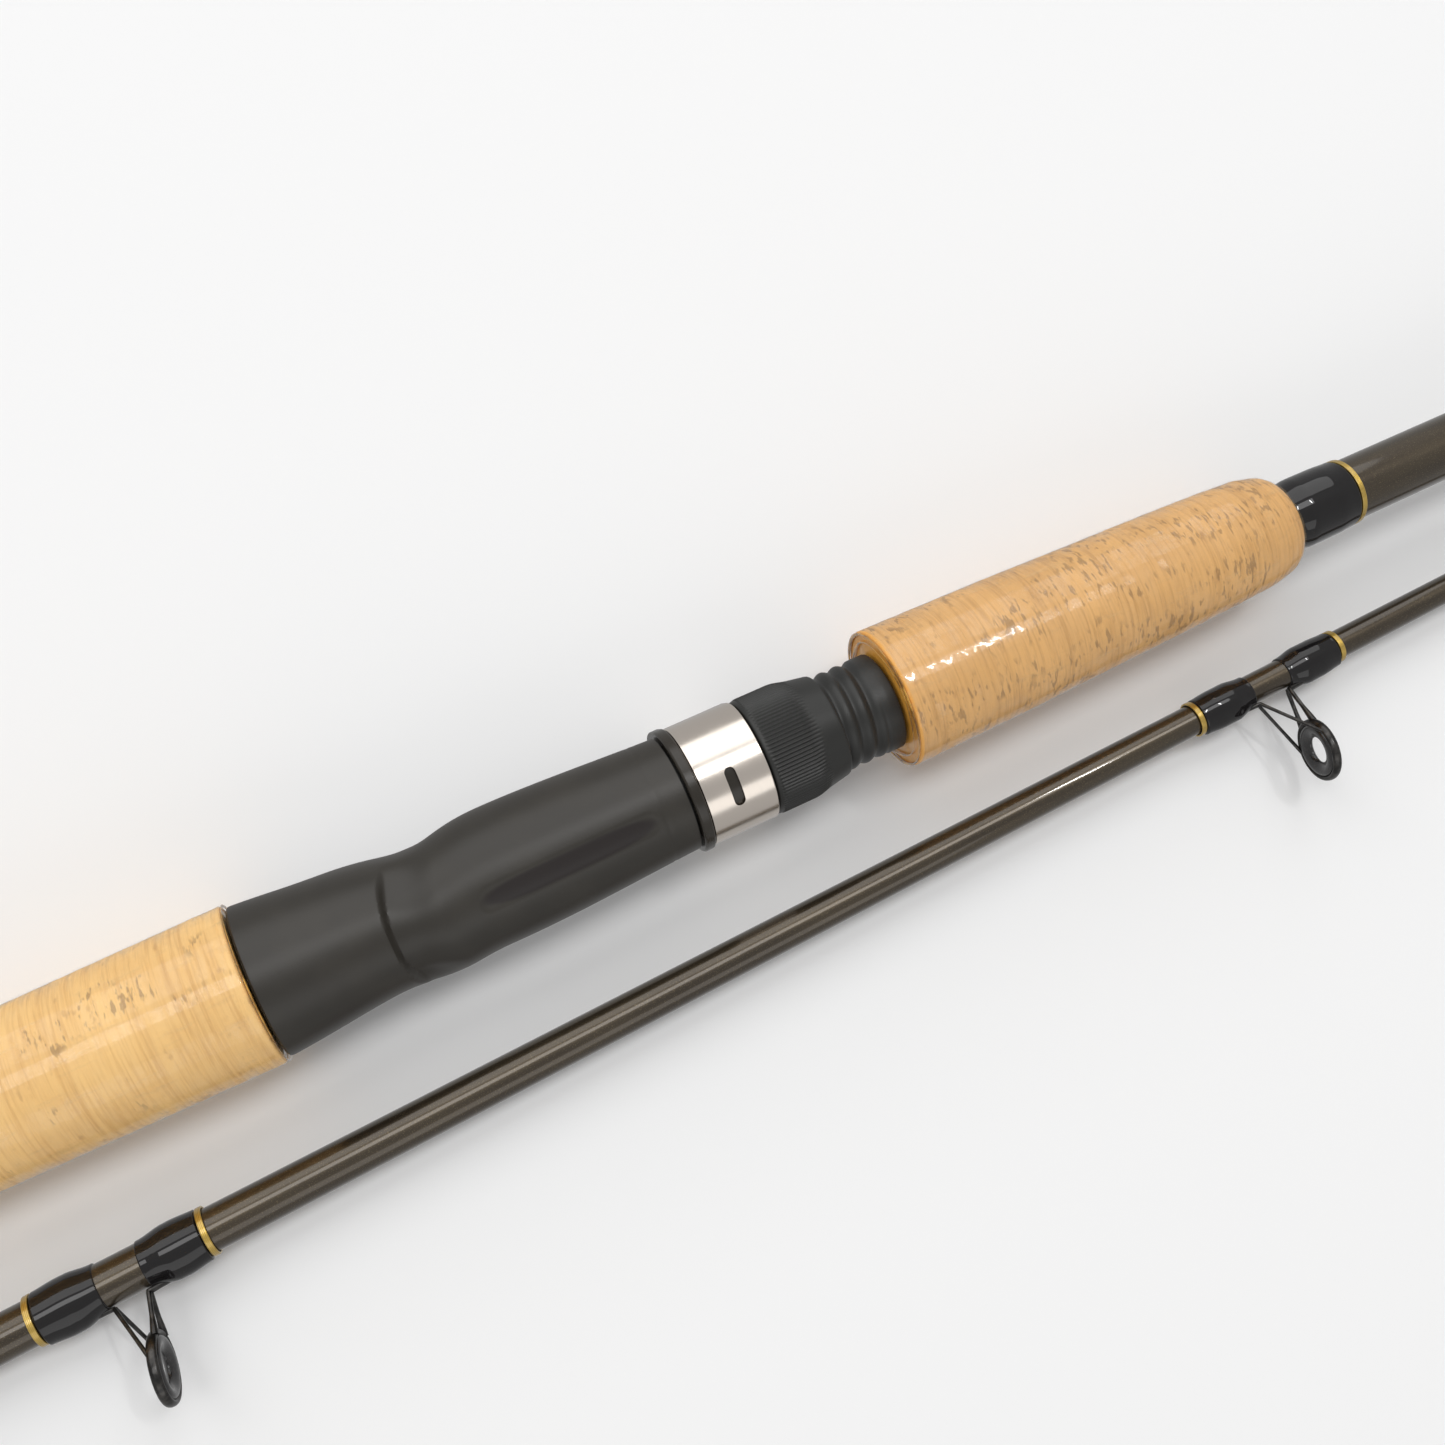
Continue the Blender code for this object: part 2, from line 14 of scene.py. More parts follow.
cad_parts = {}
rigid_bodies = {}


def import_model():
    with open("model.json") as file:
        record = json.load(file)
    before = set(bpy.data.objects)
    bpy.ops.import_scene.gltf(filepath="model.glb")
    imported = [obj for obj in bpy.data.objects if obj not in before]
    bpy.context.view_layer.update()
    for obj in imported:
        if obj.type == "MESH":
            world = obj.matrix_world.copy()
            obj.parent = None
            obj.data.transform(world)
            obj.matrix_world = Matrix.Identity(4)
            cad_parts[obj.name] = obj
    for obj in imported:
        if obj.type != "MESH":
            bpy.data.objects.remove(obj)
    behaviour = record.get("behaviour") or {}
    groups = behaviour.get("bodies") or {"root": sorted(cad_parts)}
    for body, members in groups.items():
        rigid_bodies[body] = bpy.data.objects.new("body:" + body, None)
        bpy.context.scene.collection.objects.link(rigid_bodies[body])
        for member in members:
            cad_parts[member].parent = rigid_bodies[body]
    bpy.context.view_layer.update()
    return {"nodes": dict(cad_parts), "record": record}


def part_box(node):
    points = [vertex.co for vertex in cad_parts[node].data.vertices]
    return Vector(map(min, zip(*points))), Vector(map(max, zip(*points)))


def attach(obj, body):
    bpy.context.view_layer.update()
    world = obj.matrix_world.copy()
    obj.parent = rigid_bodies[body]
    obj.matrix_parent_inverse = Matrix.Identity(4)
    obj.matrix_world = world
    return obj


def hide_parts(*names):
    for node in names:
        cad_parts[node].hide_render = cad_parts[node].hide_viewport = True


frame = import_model()
MM = 0.001
mounts = {mount["name"]: mount for mount in frame["record"]["mounts"]}

# %% [markdown]
# ## Two axes to build on
# A rod is turned work: nearly every piece is round about the blank's axis. So each section of the rod gets
# its own coordinates: x along the axis, and an angle round it that is 0 at the back, away from the reel and
# the guides. The handle's come from the flat that the reel's foot lies on, and the tip section's from its
# socket and its first ring.


# %% Section coordinates
def node_points(name):
    """Every vertex of a CAD node, as an (n, 3) array in metres."""
    mesh = frame["nodes"][name].data
    flat = np.empty(len(mesh.vertices) * 3)
    mesh.vertices.foreach_get("co", flat)
    return flat.reshape(-1, 3)


class Section:
    """A straight axis: place() turns (x, side, back) into world points, and measure() turns them back."""

    def __init__(self, origin, along, reel_side):
        self.origin = np.array(origin, float)
        self.along = np.array(along, float) / np.linalg.norm(along)
        back = -(np.array(reel_side, float) - self.along * np.dot(reel_side, self.along))
        self.back = back / np.linalg.norm(back)
        self.side = np.cross(self.back, self.along)

    def place(self, x, side, back):
        x, side, back = (part[..., None] for part in np.broadcast_arrays(x, side, back))
        return self.origin + x * self.along + side * self.side + back * self.back

    def measure(self, points):
        offset = points - self.origin
        return offset @ self.along, offset @ self.side, offset @ self.back


def middle(name):
    low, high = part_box(name)
    return (np.array(low) + np.array(high)) / 2


handle = Section((0, 0, 0), -np.array(mounts["butt_face"]["axis"]), mounts["reel_foot_bed"]["axis"])
tip_along = -np.array(mounts["tip_ferrule_end"]["axis"])
blank_points = node_points("tip_blank")
reach = blank_points @ tip_along
socket_mouth = blank_points[reach < reach.min() + 0.01 * MM].mean(axis=0)
tip = Section(socket_mouth, tip_along, middle("stripper_guide_ring") - socket_mouth)
print("handle's back:", handle.back.round(3), " tip section starts at", tip.origin.round(4))

# %% [markdown]
# ## From solid to outline
# The solid pieces are coarse, but their corners lie on the true shape. Reading those corners gives each
# piece's outline, (x, radius) from one end to the other. The fine surface is built on it, and so it can't
# drift away from the solid. A real turned edge is never sharp, so the outline's corners are rounded before
# use.


# %% Outlines of the solid pieces
def outline(name, section, inner=False):
    """(stations, radii) of a turned node: at each station its furthest corner, or with inner its nearest."""
    x, side, back = section.measure(node_points(name))
    radius, stations = np.hypot(side, back), np.round(x, 5)
    unique = np.unique(stations)
    pick = np.min if inner else np.max
    return unique, np.array([pick(radius[stations == station]) for station in unique])


def ends(name, section):
    x = section.measure(node_points(name))[0]
    return x.min(), x.max()


def rounded(points, spacing, radius, closed=True):
    """The outline with its corners rounded: points set evenly along it, then averaged over a window.

    p'(s) = mean of p(t) for |t - s| < radius, with s the distance along the outline.
    """
    points = np.array(points, float)
    if closed:
        points = np.vstack([points, points[:1]])
    travelled = np.concatenate([[0], np.cumsum(np.linalg.norm(np.diff(points, axis=0), axis=1))])
    count = max(8, int(travelled[-1] / spacing))
    s = np.linspace(0, travelled[-1], count, endpoint=not closed)
    dense = np.stack([np.interp(s, travelled, points[:, k]) for k in (0, 1)], axis=1)
    width = max(1, int(radius / (travelled[-1] / count)))
    where = np.arange(count)[:, None] + np.arange(-width, width + 1)
    where = where % count if closed else np.clip(where, 0, count - 1)
    return dense[where].mean(axis=1)


def thinned(profile, x, bore):
    """The outline with nine in ten of its bore's points left out, since the bore is straight and unseen."""
    inside = profile[:, 1] < np.interp(profile[:, 0], x, bore + 0 * x) + 0.005 * MM
    inside &= (profile[:, 0] > x[0] + 1 * MM) & (profile[:, 0] < x[-1] - 1 * MM)
    return profile[~inside | (np.arange(len(profile)) % 10 == 0)]


def sleeve_profile(name, section, spacing, radius):
    """The closed outline of a turned tube: along its outside and back through its bore, corners rounded."""
    x, outer = outline(name, section)
    bore = outline(name, section, inner=True)[1]
    corners = [*zip(x, outer), (x[-1], bore[-1]), (x[0], bore[0])]
    return thinned(rounded(corners, spacing, radius), x, np.linspace(bore[0], bore[-1], len(x)))


print("rear grip outline:", np.round(outline("rear_grip", handle)[1][:4] / MM, 2), "mm ...")

# %% [markdown]
# ## Grids into pieces
# Every surface here is a grid of points: rows along the piece, columns round it. Joining neighbours gives
# quads. A grid is either closed like a ring doughnut, or closed by a fan at both ends. The sign of the
# volume that the faces enclose tells which way they point, so that all can be turned to point outwards.


# %% Surface tools
def grid_faces(rows, columns, ring):
    """Quads between neighbours of a grid that is closed round its columns, and along its rows if a ring."""
    index = np.arange(rows * columns).reshape(rows, columns)
    right = np.roll(index, -1, axis=1)
    if ring:
        quads = np.stack([index, right, np.roll(right, -1, axis=0), np.roll(index, -1, axis=0)], axis=-1)
        return quads.reshape(-1, 4).tolist()
    quads = np.stack([index[:-1], right[:-1], right[1:], index[1:]], axis=-1).reshape(-1, 4).tolist()
    first, last = rows * columns, rows * columns + 1
    fans = [(first, b, a) for a, b in zip(index[0], right[0])]
    return quads + fans + [(last, a, b) for a, b in zip(index[-1], right[-1])]


def closed_surface(grid, ring):
    """(corners, faces) of a grid, the faces turned round if their sum of a.(b x c + c x d) is negative."""
    corners = grid.reshape(-1, 3)
    if not ring:
        corners = np.vstack([corners, grid[0].mean(axis=0), grid[-1].mean(axis=0)])
    faces = grid_faces(*grid.shape[:2], ring)
    a, b, c, d = (corners[[face[k] for face in faces]] for k in (0, 1, 2, -1))
    volume = np.einsum("ij,ij->i", a, np.cross(b, c) + np.cross(c, d)).sum()
    order = 1 if volume > 0 else -1
    return corners, [[int(k) for k in face][::order] for face in faces]


def linked(name, data):
    """A new object of this data, linked to the scene."""
    obj = bpy.data.objects.new(name, data)
    bpy.context.scene.collection.objects.link(obj)
    return obj


def add_piece(name, grids, material, body, stands_for=(), sharp=40):
    """One object from (grid, ring) pairs, its faces pointing outwards, riding on a body of the frame."""
    points, faces = np.empty((0, 3)), []
    for grid, ring in grids:
        corners, new = closed_surface(grid, ring)
        faces += [[k + len(points) for k in face] for face in new]
        points = np.vstack([points, corners])
    mesh = bpy.data.meshes.new(name)
    mesh.from_pydata(points.tolist(), [], faces)
    mesh.shade_smooth()
    mesh.set_sharp_from_angle(angle=math.radians(sharp))
    mesh.materials.append(material)
    obj = linked(name, mesh)
    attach(obj, body)
    if stands_for:
        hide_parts(*stands_for)
    return obj


def turn(section, profile, columns, shape=None):
    """A profile turned round an axis: P = x along + R sin(a) side + R cos(a) back, R = shape(x, r, a)."""
    angle = np.linspace(0, math.tau, columns, endpoint=False)[None, :]
    x, r = profile[:, :1], profile[:, 1:2]
    radius = r + 0 * angle if shape is None else shape(x, r, angle)
    return section.place(x + 0 * angle, radius * np.sin(angle), radius * np.cos(angle))


def tube(path, radii, columns):
    """A round tube: P = path(s) + r(s) (cos(a) n + sin(a) b), with n and b square to the path."""
    path = np.array(path, float)
    heading = np.gradient(path, axis=0)
    heading /= np.linalg.norm(heading, axis=1, keepdims=True)
    spare = np.array([0.31, 0.87, 0.38])  # any direction that no wire runs in
    n = np.cross(heading, spare)
    n /= np.linalg.norm(n, axis=1, keepdims=True)
    b = np.cross(heading, n)
    angle = np.linspace(0, math.tau, columns, endpoint=False)[None, :, None]
    radii = np.broadcast_to(radii, len(path))[:, None, None]
    return path[:, None] + radii * (np.cos(angle) * n[:, None] + np.sin(angle) * b[:, None])


def smooth(x, low, high):
    """0 below low, 1 above high, and t t (3 - 2 t) between."""
    t = np.clip((x - low) / (high - low), 0, 1)
    return t * t * (3 - 2 * t)


print("a grid of 3 by 4 points closes with", len(grid_faces(3, 4, False)), "faces")

# %% [markdown]
# ## Shader arithmetic
# A procedural finish is a formula of place. Wrapping a shader socket in a class whose operators add Math
# nodes lets that formula be written as one, such as `0.5 + 0.1 * grain`, instead of as a tangle of nodes.


# %% A number in a shader
def maths(operation, swapped=False):
    """A method that adds one Math node, working on this value and any others."""

    def method(self, *others):
        terms = (*others, self) if swapped else (self, *others)
        settings = {"operation": operation}
        return self.paint.node("ShaderNodeMath", settings=settings, inputs=dict(enumerate(terms)))

    return method


class Value:
    """A shader socket that can be added, multiplied and compared like a number."""

    def __init__(self, paint, socket):
        self.paint, self.socket = paint, socket

    __add__ = __radd__ = maths("ADD")
    __sub__, __rsub__ = maths("SUBTRACT"), maths("SUBTRACT", swapped=True)
    __mul__ = __rmul__ = maths("MULTIPLY")
    __truediv__ = maths("DIVIDE")
    sin = maths("SINE")

    def rise(self, low, high):
        """0 below low, 1 above high, and a smooth ramp between."""
        inputs = {"Value": self, "From Min": low, "From Max": high}
        ramp = {"interpolation_type": "SMOOTHSTEP"}
        return self.paint.node("ShaderNodeMapRange", settings=ramp, inputs=inputs)


# %% [markdown]
# ## A finish
# Each finish is one Principled shader. What stays the same all over is set on the shader's own sockets;
# what varies comes from noise in the object's own coordinates, so that the pattern rides along with a piece
# that moves. Noise stretched more along one axis than another gives grain, rings or hairlines.


# %% Paint
class Paint:
    """A Principled material, its formulas written with Value."""

    def __init__(self, name, **constants):
        self.material = bpy.data.materials.new(name)
        self.material.use_nodes = True
        self.tree = self.material.node_tree
        self.shader = self.tree.nodes["Principled BSDF"]
        for socket, value in constants.items():
            self.put(socket.replace("_", " "), value)
        coordinates = self.tree.nodes.new("ShaderNodeTexCoord")
        self.place = Value(self, coordinates.outputs["Object"])

    def node(self, kind, output=0, settings=None, inputs=None):
        made = self.tree.nodes.new(kind)
        for key, value in (settings or {}).items():
            setattr(made, key, value)
        for key, value in (inputs or {}).items():
            self.join(made.inputs[key], value)
        return Value(self, made.outputs[output])

    def join(self, socket, value):
        if isinstance(value, Value):
            self.tree.links.new(value.socket, socket)
        elif isinstance(value, tuple) and len(value) == 3 and len(socket.default_value) == 4:
            socket.default_value = (*value, 1.0)
        else:
            socket.default_value = value

    def put(self, socket, value):
        self.join(self.shader.inputs[socket], value)

    def noise(self, scale, detail=3.0, roughness=0.5):
        """Noise of the place times scale, (X, Y, Z) per metre: a large number packs it tightly that way."""
        multiply, factors = {"operation": "MULTIPLY"}, {0: self.place, 1: scale}
        stretched = self.node("ShaderNodeVectorMath", settings=multiply, inputs=factors)
        inputs = {"Vector": stretched, "Scale": 1.0, "Detail": detail, "Roughness": roughness}
        return self.node("ShaderNodeTexNoise", inputs=inputs)

    def distance_along(self, section):
        """x along a section's axis, in metres."""
        return self.component(section.along, section.origin)

    def component(self, direction, origin):
        """How far the place lies from origin along a unit direction, in metres."""
        inputs = {0: self.place, 1: tuple(float(v) for v in direction)}
        dot = self.node("ShaderNodeVectorMath", "Value", {"operation": "DOT_PRODUCT"}, inputs)
        return dot - float(np.dot(origin, direction))

    def mix(self, factor, first, second):
        inputs = {0: factor, 6: first, 7: second}
        return self.node("ShaderNodeMix", 2, {"data_type": "RGBA"}, inputs)

    def bump(self, height, distance, strength):
        inputs = {"Height": height, "Distance": distance, "Strength": strength}
        self.put("Normal", self.node("ShaderNodeBump", inputs=inputs))


# %% [markdown]
# ## Cork under clear film: the finishes
# A grip is turned from cork: warm, with faint turning lines every couple of millimetres and short dark pits
# where the bark's pores were cut. A clear shrink film over it gives the gloss. The gloss is put into the
# cork's own coat, and the film's piece is left nearly invisible, because a stack of clear layers renders
# slowly.


# %% Cork and film finishes
def cork_paint(name, light, dark, pitted, face):
    """Colour = light to dark in clouds and thin rings, less short dark pits; pitted sets their spread.

    Before the station face, on the flat end under the gathered film, it turns a deep orange.
    """
    paint = Paint(name, Roughness=0.5, Coat_Roughness=0.05)
    cloud = paint.noise((70, 60, 60))
    ring = paint.noise((1500, 50, 50), 3.0, 0.7)
    grain = paint.noise((900, 500, 500), 4.0, 0.65)
    shade = cloud.rise(0.3, 0.75) * 0.35 + ring.rise(0.42, 0.72) * 0.6 + grain.rise(0.5, 0.8) * 0.2
    colour = paint.mix(shade, light, dark)
    dash = paint.noise((1100, 330, 330), 2.0).rise(0.54, 0.63)
    patch = paint.noise((75, 110, 110), 2.0).rise(pitted, pitted + 0.12)
    pits = dash * patch
    fleck = paint.noise((500, 240, 240)).rise(0.64, 0.72)
    colour = paint.mix(pits * 0.58, colour, (0.20, 0.10, 0.038))
    colour = paint.mix(fleck * 0.35, colour, (0.45, 0.22, 0.075))
    on_face = 1 - paint.distance_along(handle).rise(face, face + 0.6 * MM)
    paint.put("Base Color", paint.mix(on_face * 0.85, colour, (0.92, 0.42, 0.045)))
    paint.bump(grain * 0.4 - pits, 0.08 * MM, 0.4)
    broken = paint.noise((420, 130, 130), 3.0, 0.7)
    paint.put("Coat Weight", 0.25 + broken.rise(0.38, 0.62) * 0.75)
    return paint.material


def film_paint():
    """Clear film: nearly invisible, and a little milky in places where it is gathered."""
    paint = Paint("clear_film", Base_Color=(0.86, 0.66, 0.34), Roughness=0.12, Coat_Weight=1.0)
    gathered = paint.noise((90, 500, 500))
    paint.put("Alpha", 0.04 + gathered.rise(0.55, 0.75) * 0.07)
    paint.bump(gathered, 0.3 * MM, 0.6)
    return paint.material


def crease_paint():
    """Film folded on itself: dark amber, the film's tint with painted shade of the fold, and paler turns."""
    paint = Paint("film_crease", Roughness=0.15, Coat_Weight=1.0)
    shade = paint.noise((300, 300, 300))
    paint.put("Base Color", paint.mix(shade.rise(0.35, 0.65), (0.22, 0.09, 0.015), (0.75, 0.40, 0.08)))
    return paint.material


fore_face = float(ends("fore_grip", handle)[0])
REAR_CORK = cork_paint("rear_cork", (0.97, 0.62, 0.235), (0.70, 0.38, 0.115), 0.56, -MM)
FORE_CORK = cork_paint("fore_cork", (0.80, 0.45, 0.160), (0.54, 0.275, 0.082), 0.42, fore_face + 0.3 * MM)
CLEAR_FILM, CREASE = film_paint(), crease_paint()
print("finishes:", [material.name for material in (REAR_CORK, FORE_CORK, CLEAR_FILM, CREASE)])

# %% [markdown]
# ## The two grips
# The cork is turned on a lathe after it is glued to the blank, and the film is slid over it and shrunk with
# hot air. Heat draws it in unevenly, which gives the gloss its slow waves. The waves are in the mesh, since
# they bend the reflections of a whole lamp, and the grain is in the bump. The film's edge is turned in over
# each end.

# %% Grips
FILM_TURNED_IN, FILM_THICKNESS = 1.6 * MM, 0.12 * MM
FILM_SUNK = 0.08 * MM  # so that its waves stay inside the solid film


def shrunk(x, r, angle):
    """R = r + 0.015 mm (sin(x / 1.1 mm + 2 sin a) + sin(x / 0.7 mm + 3 a)), on the outside only."""
    waves = np.sin(x / (1.1 * MM) + 2 * np.sin(angle)) + np.sin(x / (0.7 * MM) + 3 * angle)
    return r + 0.015 * MM * waves * (r > 9 * MM)


def add_grip(name, cork):
    """Cork, and its film whose edge is turned in over each end in small waves."""
    grid = turn(handle, sleeve_profile(name, handle, 0.5 * MM, 1.0 * MM), 144, shrunk)
    add_piece(f"{name}_cork", [(grid, True)], cork, "handle_section", [name])
    start, end = ends(f"{name}_film", handle)

    def wavy(x, r, angle):
        """Small waves of 7 and 16 to the turn, dying out 2 mm from each end."""
        near_end = smooth(x, start + 2 * MM, start) + smooth(x, end - 2 * MM, end)
        return r + near_end * 0.10 * MM * (np.sin(7 * angle + 1) + np.sin(16 * angle)) - FILM_SUNK

    x, outer = outline(f"{name}_film", handle)
    skin = [(start, outer[0] - FILM_TURNED_IN), *zip(x, outer), (end, outer[-1] - FILM_TURNED_IN)]
    inside = [(at, r - FILM_THICKNESS) for at, r in skin[::-1]]
    grid = turn(handle, rounded(skin + inside, 0.6 * MM, 0.5 * MM), 96, wavy)
    film = f"{name}_film"
    add_piece(f"{film}_skin", [(grid, True)], CLEAR_FILM, "handle_section", [film])
    return round((end - start) / MM, 1)


print("grips,", add_grip("rear_grip", REAR_CORK), "and", add_grip("fore_grip", FORE_CORK), "mm long")

# %% [markdown]
# ## The folded edge of the film
# Where the film is heat-shrunk over a flat end it overlaps itself in a wandering crease, dark with the film's
# tint and the fold's shade. A thin cord of the same film, running round the end face just inside its rim,
# gives that line in painted shade. A second, at the rim, is the rolled lip that catches the light.


# %% Film creases
def add_crease(name, x, radius, wander, thickness):
    """r(a) = radius + wander (sin 2a + 0.5 sin 5a): a thin closed loop lying against an end face."""
    angle = np.linspace(0, math.tau, 200, endpoint=False)[:, None]
    around = np.linspace(0, math.tau, 8, endpoint=False)[None, :]
    r = radius + wander * (np.sin(2 * angle + 0.6) + 0.5 * np.sin(5 * angle))
    thick = thickness * (1 + 0.5 * np.sin(3 * angle + 1))
    ring = r + thick * np.cos(around)
    grid = handle.place(x + 0.4 * thick * np.sin(around), ring * np.sin(angle), ring * np.cos(angle))
    add_piece(name, [(grid, True)], CREASE, "handle_section")


fore_film_start, rear_film_end = ends("fore_grip_film", handle)[0], ends("rear_grip_film", handle)[1]
fore_rim, rear_rim = outline("fore_grip", handle)[1][0], outline("rear_grip", handle)[1][-1]
add_crease("fore_film_crease", fore_film_start - 0.05 * MM, fore_rim - 2.0 * MM, 0.5 * MM, 0.2 * MM)
add_crease("fore_film_lip", fore_film_start + 0.1 * MM, fore_rim - 0.35 * MM, 0.12 * MM, 0.3 * MM)
add_crease("rear_film_lip", rear_film_end - 0.1 * MM, rear_rim - 0.15 * MM, 0.1 * MM, 0.28 * MM)
print("film's rims at", round(fore_rim / MM, 2), "and", round(rear_rim / MM, 2), "mm from the axis")

# %% [markdown]
# ## Moulded plastic and steel
# The reel seat is glass-filled nylon with a satin skin: a very fine grain in the bump, and a roughness that
# drifts a little, so that its long highlight breaks up softly. The nut and barrel are the same plastic, but
# blacker. The steel band is polished, so it needs little but hairlines and what it reflects.


# %% Plastics, rubber, steel
def plastic_paint(name, colour, roughness, grain_depth=0.02 * MM, painted_shade=None):
    """Satin moulded plastic; the last argument, if given, is a (mask formula, colour) pair of painted shade.
    """
    paint = Paint(name)
    fine = paint.noise((2600, 2600, 2600), 2.0)
    broad = paint.noise((90, 90, 90))
    lighter = tuple(1.35 * c for c in colour)
    base = paint.mix(broad.rise(0.4, 0.7) * 0.6 + fine * 0.25, colour, lighter)
    # Painted shade, where a mask is given.
    if painted_shade:
        base = paint.mix(painted_shade[0](paint), base, painted_shade[1])
    paint.put("Base Color", base)
    paint.put("Roughness", roughness + 0.08 * (broad - 0.5) + 0.06 * (fine - 0.5))
    paint.bump(fine, grain_depth, 0.5)
    return paint.material


def steel_paint():
    """Polished sheet: hairlines round the axis, very shallow, and faint smears from handling."""
    paint = Paint("polished_steel", Metallic=1.0, Base_Color=(0.84, 0.76, 0.68))
    hair = paint.noise((9000, 250, 250), 2.0)
    smear = paint.noise((220, 220, 220))
    paint.put("Roughness", 0.13 + 0.10 * smear + 0.05 * hair)
    paint.bump(hair, 0.004 * MM, 0.4)
    return paint.material


NUT_PLASTIC = plastic_paint("nut_plastic", (0.0165, 0.0165, 0.0150), 0.42, 0.006 * MM)
RIM_PLASTIC = plastic_paint("rim_plastic", (0.022, 0.018, 0.013), 0.25, 0.006 * MM)
RUBBER = plastic_paint("butt_rubber", (0.012, 0.012, 0.012), 0.75, 0.06 * MM)
STEEL = steel_paint()
print("finishes:", [material.name for material in (NUT_PLASTIC, RIM_PLASTIC, RUBBER, STEEL)])

# %% [markdown]
# ## The bare oval on the seat
# On the seat's back is a long shallow oval where a badge would go, left bare. Inside it the colour is painted
# darker, as painted shade in the recess, so the mask uses the same centre and sizes as the recess in the
# mesh.

# %% Seat finish
seat_start, seat_end = ends("reel_seat_body", handle)
badge_centre, badge_length, badge_width = seat_start + 60.5 * MM, 18.5 * MM, 2.4 * MM


def badge_mask(paint):
    """1 inside the bare oval, where the shade is painted: where ((x - c) / length)^4 + (side / width)^2 < 1.
    """
    along = (paint.distance_along(handle) - float(badge_centre)) / float(badge_length)
    across = paint.component(handle.side, handle.origin) / float(badge_width)
    along = along * along
    return 1 - (along * along + across * across).rise(0.55, 1.05)


# The oval's darker colour is painted shade in the recess.
SHADED_OVAL = (badge_mask, (0.013, 0.0085, 0.0075))
SEAT_PLASTIC = plastic_paint("seat_plastic", (0.026, 0.0225, 0.0175), 0.40, painted_shade=SHADED_OVAL)
print("bare oval:", round(2 * badge_length / MM, 1), "by", round(2 * badge_width / MM, 1), "mm")

# %% [markdown]
# ## The reel seat's shape
# From the cork a cone narrows to a waist. There a curved edge, like the end of a tongue, drops into a
# shallow hollow, and the palm swell climbs out of it. Sculpting this by hand would give a lumpy skin. A sum
# of smooth ramps, one for each thing that the eye can name, keeps it clean, and each can be changed without
# the others.

# %% Seat shape
neck = seat_start + 31.8 * MM
swell_top = neck + 17.5 * MM
CONE, CONE_NARROWS, WIDEST = 15.2 * MM, 2.7 * MM, 15.45 * MM
SWELL, TAPER = 0.75 * MM, 1.8 * MM
STEP, TONGUE = 1.5 * MM, 9.0 * MM  # how deep the tongue's edge drops, and how long its curve is
HOOD_SWELL, DRAWN_ASIDE = 3.0 * MM, 1.4 * MM


def seat_shape(x, angle):
    """R(x, a) = cone + swell - taper + hood - step - recess - groove; each is a smooth ramp or a bell."""
    away = np.minimum(angle, math.tau - angle)
    cone = CONE - CONE_NARROWS * smooth(x, seat_start - 6 * MM, neck)
    swell = SWELL * smooth(x, neck, swell_top)
    taper = TAPER * smooth(x, swell_top, seat_end + 12 * MM)
    hood = np.maximum(0, -np.cos(angle)) ** 2 * HOOD_SWELL
    hood = hood * smooth(x, seat_start + 8.3 * MM, seat_start + 21.3 * MM)
    hood = hood * (1 - smooth(x, neck + 1.5 * MM, neck + 6.5 * MM))
    behind = x - (neck - 7.2 * MM + TONGUE * np.sin(away / 2) ** 2)
    step = STEP * smooth(behind, 0, 1.4 * MM) * (1 - smooth(behind, 2.6 * MM, 11 * MM))
    step = step * (1 - smooth(away, 0.75, 1.45))
    past_straight = np.maximum(np.abs(x - badge_centre) - (badge_length - badge_width), 0)
    beyond = np.hypot(past_straight, 12.6 * MM * away) - badge_width
    recess = 0.22 * MM * (1 - smooth(beyond, -0.9 * MM, 0.3 * MM))
    groove = 0.12 * MM * np.exp(-(((x - seat_end + 5.6 * MM) / (0.22 * MM)) ** 2))
    return np.minimum(cone + swell - taper + hood, WIDEST) - step - recess - groove


def seat_grid():
    """The skin's grid. At the waist its centre is drawn aside, by 1.4 mm exp(-((x - x0) / 7 mm)^2)."""
    x = np.arange(seat_start, seat_end, 0.4 * MM)[:, None]
    angle = np.linspace(0, math.tau, 176, endpoint=False)[None, :]
    edge_rounded = 1 - 0.03 * (1 - smooth(x, seat_start, seat_start + 0.5 * MM))
    radius = seat_shape(x, angle) * edge_rounded
    drawn = -DRAWN_ASIDE * np.exp(-(((x - neck - 2 * MM) / (7 * MM)) ** 2))
    return handle.place(x + 0 * angle, drawn + radius * np.sin(angle), radius * np.cos(angle))


seat = add_piece(
    "seat_skin", [(seat_grid(), False)], SEAT_PLASTIC, "handle_section", ["reel_seat_body"]
)
print("seat skin:", len(seat.data.polygons), "faces before it is cut")

# %% [markdown]
# ## The mouth for the reel's foot
# A mould leaves the mouth with a core: a block that is pulled out once the plastic has set. The same thing
# can be done here with Booleans, which take blocks away from the skin. Three are needed: the bore for the
# pipe, the flat bed that the foot lies on, and the pocket under the fixed hood that holds the foot's end.


# %% Cutting the seat
def cutter(name, grid):
    """A closed solid used to cut another."""
    corners, faces = closed_surface(grid, False)
    mesh = bpy.data.meshes.new(name)
    mesh.from_pydata(corners.tolist(), [], faces)
    return linked(name, mesh)


def prism(section, stations, corners):
    """A prism between two stations, its end a polygon of (side, back) corners."""
    side, back = np.array(corners).T
    return np.stack([section.place(np.full(len(side), x), side, back) for x in stations])


def block(half_width, low, high):
    """The four (side, back) corners of a rectangle."""
    return [(-half_width, low), (half_width, low), (half_width, high), (-half_width, high)]


